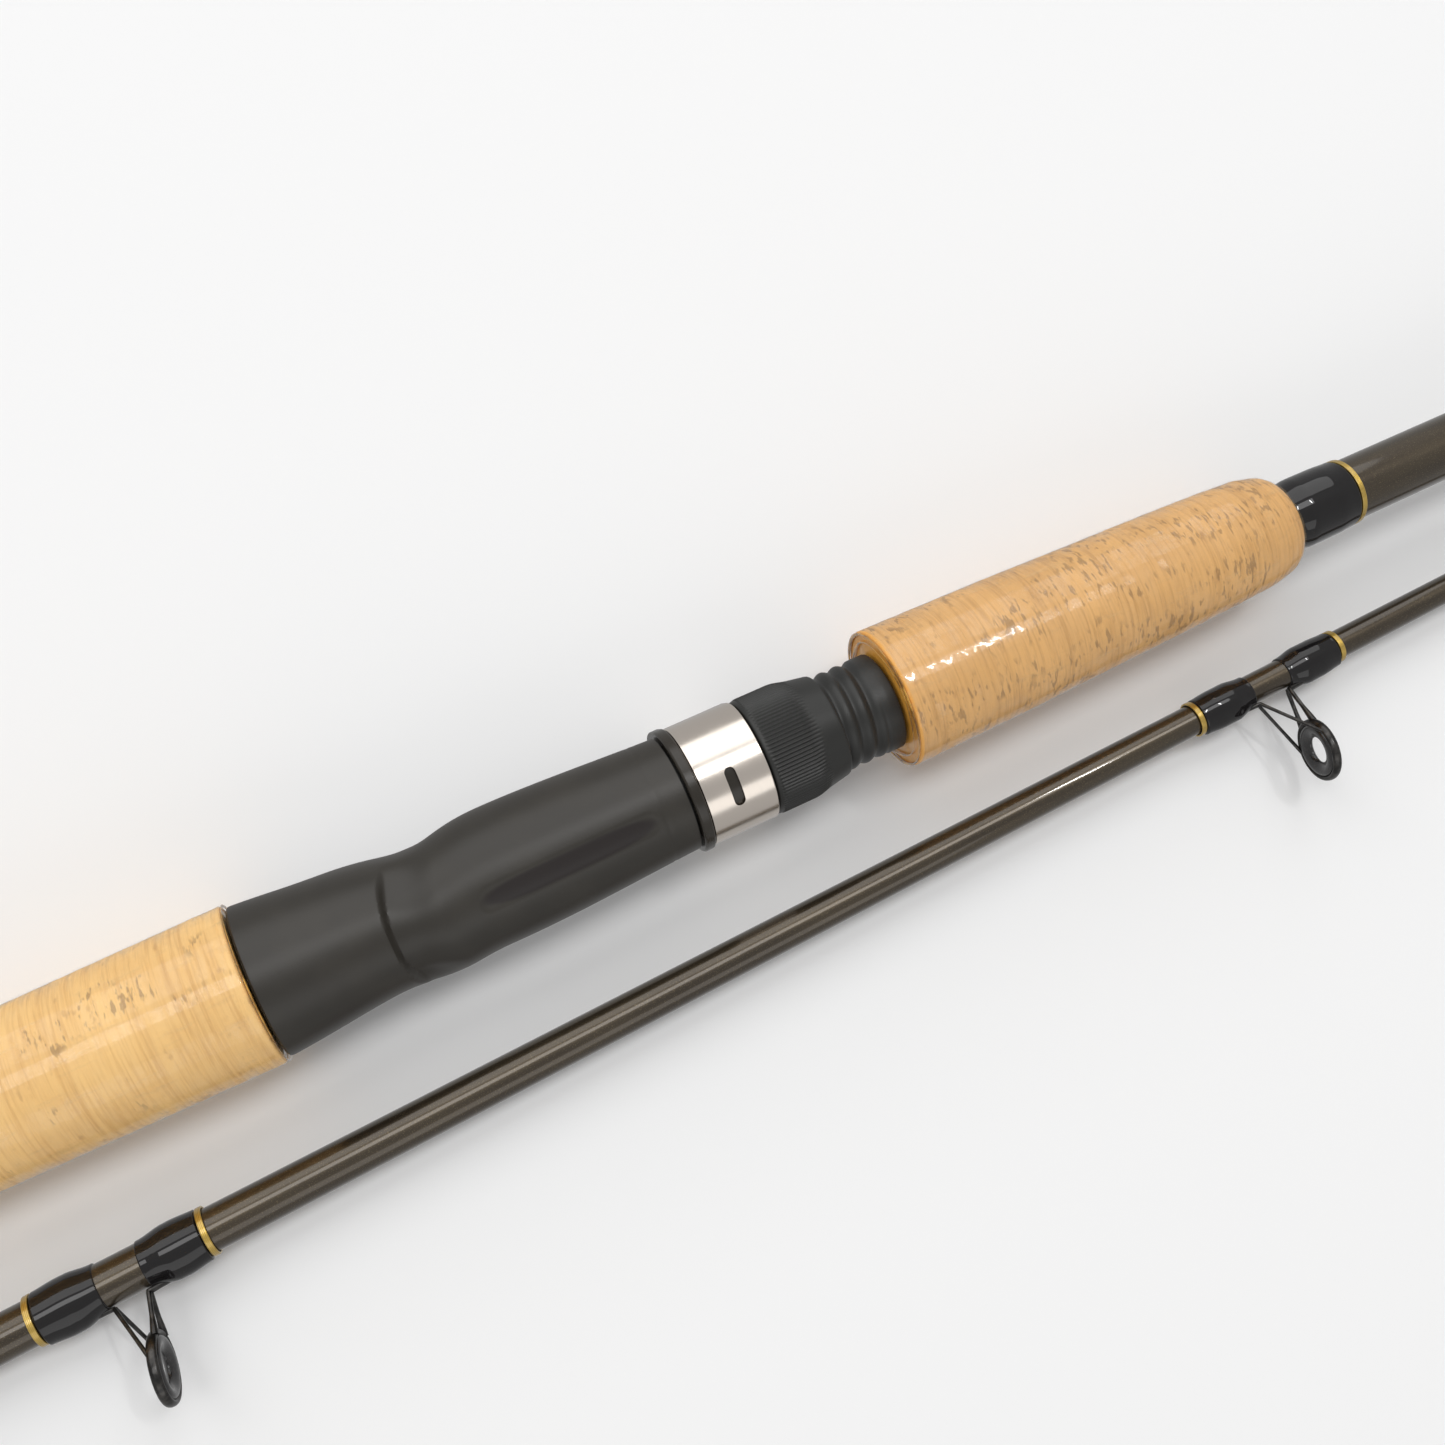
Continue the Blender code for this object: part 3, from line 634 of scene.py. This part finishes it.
def carve(obj, *cutters):
    """Cuts the solids out of obj's mesh, then removes them."""
    for tool in cutters:
        modifier = obj.modifiers.new(tool.name, "BOOLEAN")
        modifier.operation, modifier.solver, modifier.object = "DIFFERENCE", "EXACT", tool
    graph = bpy.context.evaluated_depsgraph_get()
    mesh = bpy.data.meshes.new_from_object(obj.evaluated_get(graph))
    obj.modifiers.clear()
    obj.data = mesh
    mesh.shade_smooth()
    mesh.set_sharp_from_angle(angle=math.radians(35))
    for tool in cutters:
        bpy.data.objects.remove(tool)


CLEAR, BED_TOP = 20 * MM, -6.2 * MM
POCKET_HALF_WIDTH, POCKET_LOW, POCKET_HIGH = 6.6 * MM, -13.1 * MM, -5 * MM
pipe_radius = outline("seat_pipe", handle)[1][0]
lap = np.linspace(0, math.tau, 64, endpoint=False)
round_bore = list(zip(pipe_radius * 1.02 * np.sin(lap), pipe_radius * 1.02 * np.cos(lap)))
mouth, past_end = neck + 3 * MM, seat_end + 5 * MM
pocket = (mouth - 16.5 * MM, mouth + 2 * MM)
carve(
    seat,
    cutter("bore", prism(handle, (seat_start - 5 * MM, past_end), round_bore)),
    cutter("bed", prism(handle, (mouth, past_end), block(CLEAR, -CLEAR, BED_TOP))),
    cutter("pocket", prism(handle, pocket, block(POCKET_HALF_WIDTH, POCKET_LOW, POCKET_HIGH))),
)
print("seat body:", len(seat.data.polygons), "faces")

# %% [markdown]
# ## The threaded barrel
# The barrel's thread is a real helix: its crest climbs one pitch for each turn round the axis. A screw
# modifier could wind one, but the crests would have to be joined to the tube. As a formula, the thread is
# the tube's own radius, and so it can fade out at both ends and stop at the flat that the reel's foot lies
# on.

# %% Barrel
PITCH, CREST_SHARPNESS = 3.2 * MM, 0.7
pipe_x, pipe_r = outline("seat_pipe", handle)
crest, root = pipe_r.max(), pipe_r[pipe_x > pipe_x[-1] - 26 * MM].min()
plain_end, thread_end = pipe_x[-1] - 30 * MM, pipe_x[-1] - 4.2 * MM
bed_depth = -np.dot(np.array(mounts["reel_foot_bed"]["pos_m"]), handle.back)


def barrel_shape(x, r, angle):
    """Crests at x = x0 + pitch (n + a / 2 pi); below the axis the barrel is flat, R = bed / cos(b)."""
    outside = r > 9 * MM
    phase = (x - thread_end) / PITCH - angle / math.tau
    wave = (0.5 + 0.5 * np.cos(math.tau * phase)) ** CREST_SHARPNESS
    threaded = smooth(x, plain_end, plain_end + 2 * MM) * (1 - smooth(x, thread_end, thread_end + 1 * MM))
    radius = r - threaded * (crest - root) * (1 - wave) * outside
    below = np.abs(angle - math.pi)
    flat = np.where(below < 1.2, bed_depth / np.cos(np.minimum(below, 1.2)), 1.0)
    under_foot = (x > neck - 15 * MM) & (x < seat_end + 14.5 * MM)
    return np.where(under_foot & outside, np.minimum(radius, flat), radius)


bore = outline("seat_pipe", handle, inner=True)[1][-1]
barrel_line = [(pipe_x[0], pipe_radius), (plain_end, pipe_radius), (plain_end + 1 * MM, crest)]
barrel_line += [(pipe_x[-1], crest), (pipe_x[-1], bore), (pipe_x[0], bore)]
barrel_profile = thinned(rounded(barrel_line, 0.2 * MM, 0.3 * MM), pipe_x, bore)
barrel = [(turn(handle, barrel_profile, 112, barrel_shape), True)]
add_piece("barrel", barrel, NUT_PLASTIC, "handle_section", ["seat_pipe"], 60)
print("thread", round((crest - root) / MM, 2), "mm deep; bed", round(bed_depth / MM, 2), "mm from the axis")

# %% [markdown]
# ## The ribbed lock nut
# The nut is moulded with 96 fine ribs for grip, which fade out where its front slopes down to the barrel.
# Each rib is a wave of the radius, with nine columns of the grid to a wave, so that no rib is lost between
# columns.

# %% Lock nut
RIBS, RIB_HEIGHT, COLUMNS_TO_A_RIB = 96, 0.16 * MM, 9
NUT_INSET = 0.12 * MM
nut_start, nut_end = ends("lock_nut", handle)


def nut_shape(x, r, angle):
    """R = r + 0.16 mm cos(96 a), fading over the front slope, with a plain lip at the rear."""
    past_lip = smooth(x, nut_start + 0.9 * MM, nut_start + 1.5 * MM)
    fade = past_lip * (1 - smooth(x, nut_end - 7.5 * MM, nut_end - 4.5 * MM))
    return r + RIB_HEIGHT * fade * np.cos(RIBS * angle) * (r > 11 * MM) - NUT_INSET


nut_profile = sleeve_profile("lock_nut", handle, 0.3 * MM, 0.7 * MM)
nut = [(turn(handle, nut_profile, RIBS * COLUMNS_TO_A_RIB, nut_shape), True)]
add_piece("ribbed_nut", nut, NUT_PLASTIC, "lock_nut", ["lock_nut"], 70)
print("nut", round((nut_end - nut_start) / MM, 1), "mm long")

# %% [markdown]
# ## The moving hood: its egg-shaped outline
# The hood slides along the barrel and clamps the reel's foot. Behind the axis it is round; on the reel's
# side its outline leaves the circle in a straight line and comes round a second, lower one, which makes
# room for the foot. Two circles and their common tangents are a thing that a formula can give exactly.

# %% Hood outline
LOBE_STEP = 0.7 * MM  # the lower circle's radius is this much less
liner_start, liner_end = ends("hood_liner", handle)
band_start, band_end = ends("hood_band", handle)
band_back = handle.measure(node_points("hood_band"))[2]
band_radius = band_back.max()
lobe_drop = -band_back.min() - band_radius + LOBE_STEP


def egg(x, r, angle):
    """Round a circle of radius r, a lower one 0.7 mm smaller at lobe_drop, and their common tangents."""
    lobe = r - LOBE_STEP
    leave = math.acos(LOBE_STEP / lobe_drop)
    below = np.abs(angle - math.pi)
    meet = np.arctan2(lobe * math.sin(leave), lobe_drop + lobe * math.cos(leave))
    straight = r / np.cos(np.minimum(below - leave, 0))
    root_term = np.sqrt(np.maximum(lobe**2 - (lobe_drop * np.sin(below)) ** 2, 0))
    low = lobe_drop * np.cos(below) + root_term
    return np.where(below > leave, r + 0 * below, np.where(below > meet, straight, low))


print("band radius", round(band_radius / MM, 2), "mm, lower lobe", round(lobe_drop / MM, 2), "mm down")

# %% [markdown]
# ## The hood's liner, and its steel band
# A plastic liner carries a glossy rim, and a thin band of polished steel is pressed over it, up against
# that rim. Both are one outline turned with the egg formula in place of a circle. The small oval slot,
# through which the liner shows, is punched: here, cut with a Boolean, since a punched edge is sharp and
# stands square.

# %% Liner, rim and band
rim_radius, liner_radius, bore_radius = band_radius + 0.5 * MM, band_radius - 0.65 * MM, 10.55 * MM
liner_line = [(liner_start, rim_radius - 0.3 * MM), (liner_start + 0.4 * MM, rim_radius)]
liner_line += [(band_start - 0.5 * MM, rim_radius), (band_start - 0.15 * MM, rim_radius - 0.5 * MM)]
liner_line += [(band_start - 0.1 * MM, liner_radius), (liner_end, liner_radius)]
liner_line += [(liner_end, bore_radius), (liner_start, bore_radius)]
liner_ends = np.array([liner_start, liner_end])
liner_profile = thinned(rounded(liner_line, 0.1 * MM, 0.2 * MM), liner_ends, bore_radius)
liner = [(turn(handle, liner_profile, 160, egg), True)]
add_piece("liner_and_rim", liner, RIM_PLASTIC, "hood", ["hood_liner"], 50)

BAND_WALL = 0.42 * MM
band_line = [(band_start, band_radius), (band_end, band_radius)]
band_line += [(band_end, band_radius - BAND_WALL), (band_start, band_radius - BAND_WALL)]
band_grid = turn(handle, rounded(band_line, 0.1 * MM, 0.12 * MM), 192, egg)
band = add_piece("steel_band", [(band_grid, True)], STEEL, "hood", ["hood_band"])
slot_middle, half_length, half_width = (band_start + band_end) / 2 - 0.6 * MM, 4.0 * MM, 1.15 * MM
lap = np.linspace(0, math.tau, 48, endpoint=False)
slot_x = slot_middle + half_width * np.cos(lap)
slot_side = (half_length - half_width) * np.tanh(6 * np.sin(lap)) + half_width * np.sin(lap)
slot_heights = (9 * MM, 15 * MM)
slot = np.stack([handle.place(slot_x, slot_side, np.full(len(lap), high)) for high in slot_heights])
carve(band, cutter("slot", slot))
print("slot", round(2 * half_length / MM, 1), "by", round(2 * half_width / MM, 1), "mm")

# %% [markdown]
# ## Lacquered blank and thread: the finishes
# A blank is a rolled carbon tube, ground and sprayed with a dark brown metallic lacquer. The flakes make
# the colour shift in fine points; the lacquer over them is smooth, so it carries one long sharp highlight.
# Thread lies side by side under clear epoxy: its turns are far too fine to model one by one, so they are a
# bump, and the crest of each turn is painted lighter: a painted highlight.


# %% Blank and thread finishes
def blank_paint():
    paint = Paint("brown_lacquer", Metallic=0.75, Coat_Weight=1.0, Coat_Roughness=0.06)
    flake = paint.noise((5200, 5200, 5200), 1.0)
    drift = paint.noise((30, 300, 300), 2.0)
    base = paint.mix(drift.rise(0.3, 0.7), (0.052, 0.038, 0.023), (0.074, 0.055, 0.032))
    paint.put("Base Color", paint.mix(flake.rise(0.58, 0.72) * 0.5, base, (0.20, 0.155, 0.085)))
    paint.put("Roughness", 0.27 + 0.10 * flake)
    paint.bump(drift, 0.02 * MM, 0.2)
    return paint.material


def thread_paint(name, section, colour, lit, metallic, pitch, depth):
    """Thread side by side round the axis: height = 0.5 + 0.5 sin(2 pi x / pitch), sealed under epoxy."""
    sealed = {"Coat_Weight": 1.0, "Coat_Roughness": 0.03, "Specular_IOR_Level": 0.05}
    paint = Paint(name, Metallic=metallic, **sealed)
    x = paint.distance_along(section)
    round_thread = (x * (math.tau / pitch)).sin() * 0.5 + 0.5
    fibre = paint.noise((700, 2600, 2600), 2.0)
    # Painted highlight: the colour goes towards lit on each turn's crest; the fibre noise adds lighter tone
    # at random.
    paint.put("Base Color", paint.mix(round_thread * 0.5 + fibre * 0.4, colour, lit))
    paint.put("Roughness", 0.30 + 0.15 * fibre)
    paint.bump(round_thread + fibre * 0.3, depth, 0.5)
    return paint.material


LACQUER = blank_paint()
BLACK_THREAD, GOLD_THREAD = {}, {}
for section, where in ((handle, "handle"), (tip, "tip")):
    black, lit_black = (0.0035, 0.003, 0.0035), (0.011, 0.0095, 0.0095)
    gold, lit_gold = (0.42, 0.26, 0.03), (0.85, 0.60, 0.16)
    BLACK_THREAD[section] = thread_paint(
        f"black_thread_{where}", section, black, lit_black, 0.0, 0.28 * MM, 0.02 * MM
    )
    GOLD_THREAD[section] = thread_paint(
        f"gold_thread_{where}", section, gold, lit_gold, 0.85, 0.30 * MM, 0.06 * MM
    )
print("thread finishes:", [paint.name for paint in (*BLACK_THREAD.values(), *GOLD_THREAD.values())])

# %% [markdown]
# ## The two blanks
# Each section is a tapering tube. Its outline comes from the solid, and is turned round the axis with
# enough columns that the long highlight has no facets in it.


# %% Blanks
def add_blank(name, section, columns, body):
    x, outer = outline(name, section)
    bore = outline(name, section, inner=True)[1]
    hollow = np.minimum(bore, outer - 0.3 * MM)
    line = [*zip(x, outer), *zip(x[::-1], hollow[::-1])]
    profile = thinned(rounded(line, 1.5 * MM, 0.1 * MM), x, hollow)
    tube_wall = [(turn(section, profile, columns), True)]
    add_piece(f"{name}_lacquered", tube_wall, LACQUER, body, [name])
    return [round(2 * r / MM, 1) for r in (outer[0], outer[-1])]


print("handle section's blank, mm across its ends:", add_blank("handle_blank", handle, 72, "handle_section"))
print("tip section's blank:", add_blank("tip_blank", tip, 56, "tip_section"))

# %% [markdown]
# ## Wraps
# Thread is wound over each guide's foot and brushed with epoxy, which pulls into a smooth bead: it is
# thickest in the middle, feathers out at both ends, and stands up in a low ridge over the foot. The bead is
# a radius too, the blank's own plus a thickness that depends on how far along the wrap the place is.

# %% Wraps
BLANK_LINES = {handle: outline("handle_blank", handle), tip: outline("tip_blank", tip)}
FULL_WRAP = 11 * MM  # a shorter wrap is thinner in proportion


def wrap_thickness(x, start, end, thin_end):
    """t in metres: 0.3 mm rising to 0.92 mm in a smooth S from the thin end, and 0.28 mm less at the trim.

    thin_end is -1 where that end is the first, 1 where it is the last, and 0 for an even 0.62 mm.
    """
    near, far = (x - start, end - x) if thin_end < 0 else (end - x, x - start)
    scale = min(1.0, (end - start) / FULL_WRAP)
    thick = 0.62 + 0 * x
    if thin_end:
        trimmed = 0.28 * (1 - smooth(far, 0, 5 * MM * scale))
        thick = 0.30 + 0.62 * smooth(near, 0.4 * MM, 5.2 * MM * scale) - trimmed
    tip_round = np.sqrt(1 - (1 - np.clip(np.minimum(near, far) / (0.3 * MM), 0, 1)) ** 2)
    return thick * MM * scale * (0.15 + 0.85 * tip_round)


def add_wrap(name, section, body, thin_end=0, ridge=0.0):
    """R = blank + t (1 + 0.03 sin(2a + 500 x)) + ridge t exp(-(b / 0.5)^2), b the angle from the foot."""
    start, end = ends(name, section)
    x = np.linspace(start, end, 90)
    thick = wrap_thickness(x, start, end, thin_end)
    under = np.interp(x, *BLANK_LINES[section])

    def shape(at, r, angle):
        """The bead where r is 1, and the blank's surface where r is -1."""
        part = np.interp(at, x, thick)
        over_foot = ridge * part / MM * np.exp(-((np.abs(angle - math.pi) / 0.5) ** 2))
        high = part * (1 + 0.03 * np.sin(2 * angle + 500 * at)) + over_foot
        return np.interp(at, x, under) + np.where(r > 0, high, 0.02 * MM)

    outer = np.stack([x, np.ones(len(x))], axis=1)
    bore = np.stack([np.linspace(end, start, 8), -np.ones(8)], axis=1)
    grid = turn(section, np.vstack([outer, bore]), 64, shape)
    add_piece(f"{name}_epoxy", [(grid, True)], BLACK_THREAD[section], body, [name], 60)


# %% [markdown]
# ## Gold trims
# A few turns of metallic thread finish the outer end of each wrap. They stand 0.06 mm proud of their solid,
# so that the gold isn't buried in the black beside it.


# %% Trims
def add_trim(name, section, body):
    profile = sleeve_profile(name, section, 0.08 * MM, 0.22 * MM)
    profile[:, 1] += 0.06 * MM
    turns = [(turn(section, profile, 64), True)]
    add_piece(f"{name}_thread", turns, GOLD_THREAD[section], body, [name])


add_wrap("fore_wrap", handle, "handle_section", thin_end=-1)
add_trim("fore_trim", handle, "handle_section")
add_wrap("ferrule_wrap", tip, "tip_section")
add_trim("ferrule_trim", tip, "tip_section")
print("wraps and trims of the grip and the ferrule made")

# %% [markdown]
# ## Line guides: the finishes
# The wire of a guide is stainless steel with a dark plating, which looks cloudy where it was handled. The
# ring is a fired ceramic, ground so smooth that the line can't catch: nearly black, and glossy.


# %% Guide finishes
def wire_paint():
    """Dark plated wire, with a slightly paler bloom."""
    paint = Paint("gunmetal", Metallic=0.9, Coat_Weight=0.3)
    bloom = paint.noise((700, 700, 700))
    paint.put("Base Color", paint.mix(bloom.rise(0.35, 0.7), (0.030, 0.029, 0.028), (0.075, 0.070, 0.065)))
    paint.put("Roughness", 0.22 + 0.18 * bloom)
    paint.bump(bloom, 0.01 * MM, 0.4)
    return paint.material


def ceramic_paint():
    paint = Paint("ring_ceramic", Coat_Weight=0.6, Coat_Roughness=0.05)
    speck = paint.noise((1800, 1800, 1800), 2.0)
    paint.put("Base Color", paint.mix(speck.rise(0.45, 0.7), (0.014, 0.013, 0.013), (0.030, 0.028, 0.027)))
    paint.put("Roughness", 0.14 + 0.10 * speck)
    paint.bump(speck, 0.004 * MM, 0.3)
    return paint.material


GUNMETAL, CERAMIC = wire_paint(), ceramic_paint()
print("finishes:", GUNMETAL.name, CERAMIC.name)

# %% [markdown]
# ## Rings
# Each ring leans on an axis of its own, which is found from the solid: it is the direction in which the
# ring's corners spread the least. Turning a small oval round that axis gives the ring. On a guide it is
# dished, thinner towards the hole.


# %% Rings
def ring_axis(name):
    """A ring's own section: its centre, and the direction in which it is thinnest, facing the tip."""
    centre = node_points(name).mean(axis=0)
    points = node_points(name) - middle(name)
    normal = np.linalg.svd(points - points.mean(axis=0), full_matrices=False)[2][2]
    return Section(centre, normal if np.dot(normal, tip.along) > 0 else -normal, -tip.back)


def add_ring(name, round_points, columns, dish=0.0):
    """x = half cos(t) (1 - dish + dish sin(t)), R = middle + width / 2 sin(t). Returns what a wire needs."""
    hole = ring_axis(f"{name}_ring")
    x, radius = outline(f"{name}_ring", hole)
    inner = outline(f"{name}_ring", hole, inner=True)[1].min()
    outer, half = radius.max(), (x[-1] - x[0]) / 2
    lap = np.linspace(0, math.tau, round_points, endpoint=False)
    thin = half * np.cos(lap) * (1 - dish + dish * np.sin(lap))
    donut = np.stack([thin, (outer + inner) / 2 + (outer - inner) / 2 * np.sin(lap)], axis=1)
    ring = [(turn(hole, donut, columns), True)]
    add_piece(f"{name}_ceramic", ring, CERAMIC, "tip_section", [f"{name}_ring"])
    return hole, inner, outer, half


# %% [markdown]
# ## Guides
# A guide is bent from wire: two short thick legs from the front foot and two long thin braces from the rear
# foot are brazed to a thin hoop, which holds the ring. Each wire is a tube swept along a curve, and starts
# inside its wrap, so that no end shows. The rings get smaller towards the tip, and the wire gets thinner
# with them.

# %% Guides
USUAL_RING, FOOT_RADIUS = 5.9 * MM, 0.3 * MM
# where each wire meets the hoop, as an angle and a share of its half width; its radius in mm; its flare there
FRONT_LEG, REAR_LEG = (0.50, 0.3, 0.52, 0.55), (1.28, -0.3, 0.42, 0.15)
blank_line = BLANK_LINES[tip]


def bent(start, control, end, count):
    """A quadratic curve through start and end, pulled towards control."""
    t = np.linspace(0, 1, count)[:, None]
    return (1 - t) ** 2 * start + 2 * t * (1 - t) * control + t**2 * end


def leg_path(inside, way, hand, wire, top):
    """From under the wrap, out at its inner end, and in a bend up to the hoop."""
    buried, under = inside + way * 6 * wire, np.interp(inside, *blank_line)
    far = tip.place(buried, hand * 0.5 * wire, -(np.interp(buried, *blank_line) + wire))
    leaving = tip.place(inside + way * 1.0 * wire, hand * 0.8 * wire, -(under + 1.05 * wire))
    knee = tip.place(inside - way * 1.6 * wire, hand * 1.1 * wire, -(under + 1.3 * wire))
    return np.vstack([bent(far, leaving, knee, 8)[:-1], bent(knee, knee + 0.25 * (top - knee), top, 14)])


def wire_grids(name, hole, inner, outer, half):
    """The hoop, four legs and two feet of one guide, as grids."""
    lap = np.linspace(0, math.tau, 28, endpoint=False)
    hoop_radius = outer + 0.5 * min(half, 0.7 * MM)
    round_wire = 0.18 * (hoop_radius - inner) * np.sin(lap)
    hoop = np.stack([0.62 * half * np.cos(lap), hoop_radius + round_wire], axis=1)
    grids = [(turn(hole, hoop, 72), True)]
    rear_start, rear_stop = ends(f"{name}_rear_wrap", tip)
    front_start, front_stop = ends(f"{name}_front_wrap", tip)
    size = (outer / USUAL_RING) ** 0.5
    for hand in (-1, 1):
        for inside, way, leg in ((front_start, 1, FRONT_LEG), (rear_stop, -1, REAR_LEG)):
            angle, offset, thick, flare = leg
            wire = thick * MM * size
            grip = hoop_radius + 0.1 * wire
            top = hole.place(offset * half, hand * grip * math.sin(angle), grip * math.cos(angle))
            path = leg_path(inside, way, hand, wire, top)
            along = np.linspace(0, 1, len(path))
            radii = wire * (1.0 - 0.18 * along + flare * smooth(along, 0.75, 1.0))
            grids.append((tube(path, radii, 14), False))
    for start, stop in ((rear_start, rear_stop), (front_start, front_stop)):
        x = np.linspace(start + 1.2 * MM, stop - 0.4 * MM, 12)
        foot = tip.place(x, 0 * x, -(np.interp(x, *blank_line) + FOOT_RADIUS))
        grids.append((tube(foot, FOOT_RADIUS, 10), False))
    return grids


def add_guide(name):
    hole, inner, outer, half = add_ring(name, 28, 72, dish=0.28)
    grids = wire_grids(name, hole, inner, outer, half)
    add_piece(f"{name}_wire", grids, GUNMETAL, "tip_section", [f"{name}_frame"], 60)
    ridge = 0.6 * MM * min(1.0, outer / USUAL_RING)
    for end, thin_end in (("rear", 1), ("front", -1)):
        add_wrap(f"{name}_{end}_wrap", tip, "tip_section", thin_end, ridge)
        add_trim(f"{name}_{end}_trim", tip, "tip_section")
    return round(2 * inner / MM, 1)


guides = ["stripper_guide", "guide_2", "guide_3", "guide_4", "guide_5", "guide_6"]
print("ring holes, mm:", {name: add_guide(name) for name in guides})

# %% [markdown]
# ## Tip top
# The last guide is a tube glued over the blank's tip, with a small ring set at a slant. Its solid frame is
# already fine enough, so it only gets a finish, and so do the two arbors hidden in the seat.


# %% Tip top
def repaint(name, material):
    """Gives a solid piece that is shown as it is a finish of its own."""
    materials = frame["nodes"][name].data.materials
    materials.clear()
    materials.append(material)


tip_top_hole = add_ring("tip_top", 24, 56)[1]
repaint("tip_top_frame", GUNMETAL)
add_wrap("tip_top_wrap", tip, "tip_section")
add_trim("tip_top_trim", tip, "tip_section")
print("tip top's hole", round(2 * tip_top_hole / MM, 1), "mm")

# %% [markdown]
# ## Butt cap
# At the other end a moulded rubber cap closes the butt. It is ringed with a few shallow grooves, and hollow
# where the blank goes in. An outline from the axis out to the edge and back makes it one closed skin.

# %% Butt cap
GROOVES, FIRST_GROOVE, GROOVE_PITCH, GROOVE_DEPTH = 4, 8 * MM, 3 * MM, 0.3 * MM
HOLLOW_RADIUS, HOLLOW_DEPTH = 7.4 * MM, 15 * MM
cap_x, cap_r = outline("butt_cap", handle)
hollow_floor = cap_x[-1] - HOLLOW_DEPTH
cap_line = [(cap_x[0], 0), *zip(cap_x, cap_r), (cap_x[-1], HOLLOW_RADIUS)]
cap_line += [(hollow_floor, HOLLOW_RADIUS), (hollow_floor, 0)]
cap_profile = rounded(cap_line, 0.3 * MM, 0.6 * MM, closed=False)


def cap_shape(x, r, angle):
    """R = r less four shallow bell-shaped grooves, 3 mm apart."""
    middles = [FIRST_GROOVE + GROOVE_PITCH * k for k in range(GROOVES)]
    groove = sum(np.exp(-(((x - at) / (0.35 * MM)) ** 2)) for at in middles)
    return r - GROOVE_DEPTH * groove * (r > 13 * MM) + 0 * angle


cap = [(turn(handle, cap_profile, 96, cap_shape), False)]
add_piece("rubber_cap", cap, RUBBER, "handle_section", ["butt_cap"])
repaint("rear_arbor", NUT_PLASTIC)
repaint("front_arbor", NUT_PLASTIC)
print("butt cap", round(2 * cap_r.max() / MM, 1), "mm across")

# %% [markdown]
# ## Floor
# A plain pale floor, a little below the lowest piece. It is kept out of mirror-like reflections: a dark,
# glossy thing on white paper would otherwise look grey, since it would mirror the paper all along its lower
# side.

# %% Floor
HALF_FLOOR = 6
floor_z = min(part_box(name)[0][2] for name in frame["nodes"]) - 0.1 * MM
corners = [(HALF_FLOOR * x, HALF_FLOOR * y, floor_z) for x, y in ((-1, -1), (1, -1), (1, 1), (-1, 1))]
floor_mesh = bpy.data.meshes.new("floor")
floor_mesh.from_pydata(corners, [], [(0, 1, 2, 3)])
floor_mesh.materials.append(Paint("pale_paper", Base_Color=(0.90, 0.90, 0.90), Roughness=0.9).material)
floor = linked("floor", floor_mesh)
floor.visible_glossy = False
print("floor at", round(floor_z / MM, 1), "mm")

# %% [markdown]
# ## Light
# Large soft lamps stand round the rod, as in a studio: one behind, one overhead, one in front. Their sizes
# set how broad the highlights are. The narrow strip gives the film and the lacquer one thin bright line
# each.

# %% Light
LAMPS = {  # place from the middle of the view and size, in metres, and watts
    "far_side": ((0.0, 1.7, 1.5), (3.6, 2.0), 27.0),
    "overhead": ((0.0, 0.3, 2.3), (2.8, 0.7), 17.0),
    "near_side": ((-0.4, -2.0, 1.2), (2.8, 1.2), 8.0),
    "strip": ((0.83, 0.22, 1.8), (0.32, 0.044), 2.6),
}
view_centre = handle.place(neck + 70 * MM, 0.0, 0.0)
for name, (place, size, power) in LAMPS.items():
    lamp = bpy.data.lights.new(name, "AREA")
    lamp.shape, lamp.size, lamp.size_y, lamp.energy = "RECTANGLE", *size, power
    obj = linked(name, lamp)
    obj.location = view_centre + place
    towards = Vector(view_centre - np.array(obj.location))
    obj.rotation_euler = towards.to_track_quat("-Z", "Y").to_euler()
world = bpy.data.worlds.new("studio")
bpy.context.scene.world = world
world.use_nodes = True
sky = world.node_tree.nodes["Background"].inputs
sky["Color"].default_value, sky["Strength"].default_value = (1, 1, 1, 1), 0.42
bpy.context.scene.view_settings.view_transform = "Standard"
print("lamps:", ", ".join(LAMPS))

# %% [markdown]
# ## Camera
# The camera looks down from nearly overhead, turned so that the rod crosses the view in a shallow diagonal.
# It stands close, so the rod recedes a little towards its tip, as it does to the eye of someone about to
# pick it up.

# %% Camera
RECEDE, LEAN, HEIGHT = math.radians(12), math.radians(23.95), math.radians(81)
LENS, SENSOR, DISTANCE = 39.86, 36.0, 316.8 * MM  # the first two in millimetres, as Blender takes them
down = np.array([0, math.cos(HEIGHT), -math.sin(HEIGHT)])
look = np.array([math.sin(RECEDE), 0, 0]) + math.cos(RECEDE) * down
upright = np.array([0, math.sin(HEIGHT), math.cos(HEIGHT)])
level = (np.array([1.0, 0, 0]) - math.sin(RECEDE) * look) / math.cos(RECEDE)
right = math.cos(LEAN) * level - math.sin(LEAN) * upright
up = math.sin(LEAN) * level + math.cos(LEAN) * upright
aimed_at = np.array([seat_end + 14.3 * MM, 0, 0]) + 9.0 * MM * upright
lens = bpy.data.cameras.new("studio_camera")
lens.lens, lens.sensor_width, lens.clip_start = LENS, SENSOR, 10 * MM
camera = linked("studio_camera", lens)
matrix = np.eye(4)
matrix[:3] = np.stack([right, up, -look, aimed_at - DISTANCE * look], axis=1)
camera.matrix_world = Matrix(matrix.tolist())
bpy.context.scene.camera = camera
print("camera at", matrix[:3, 3].round(3))
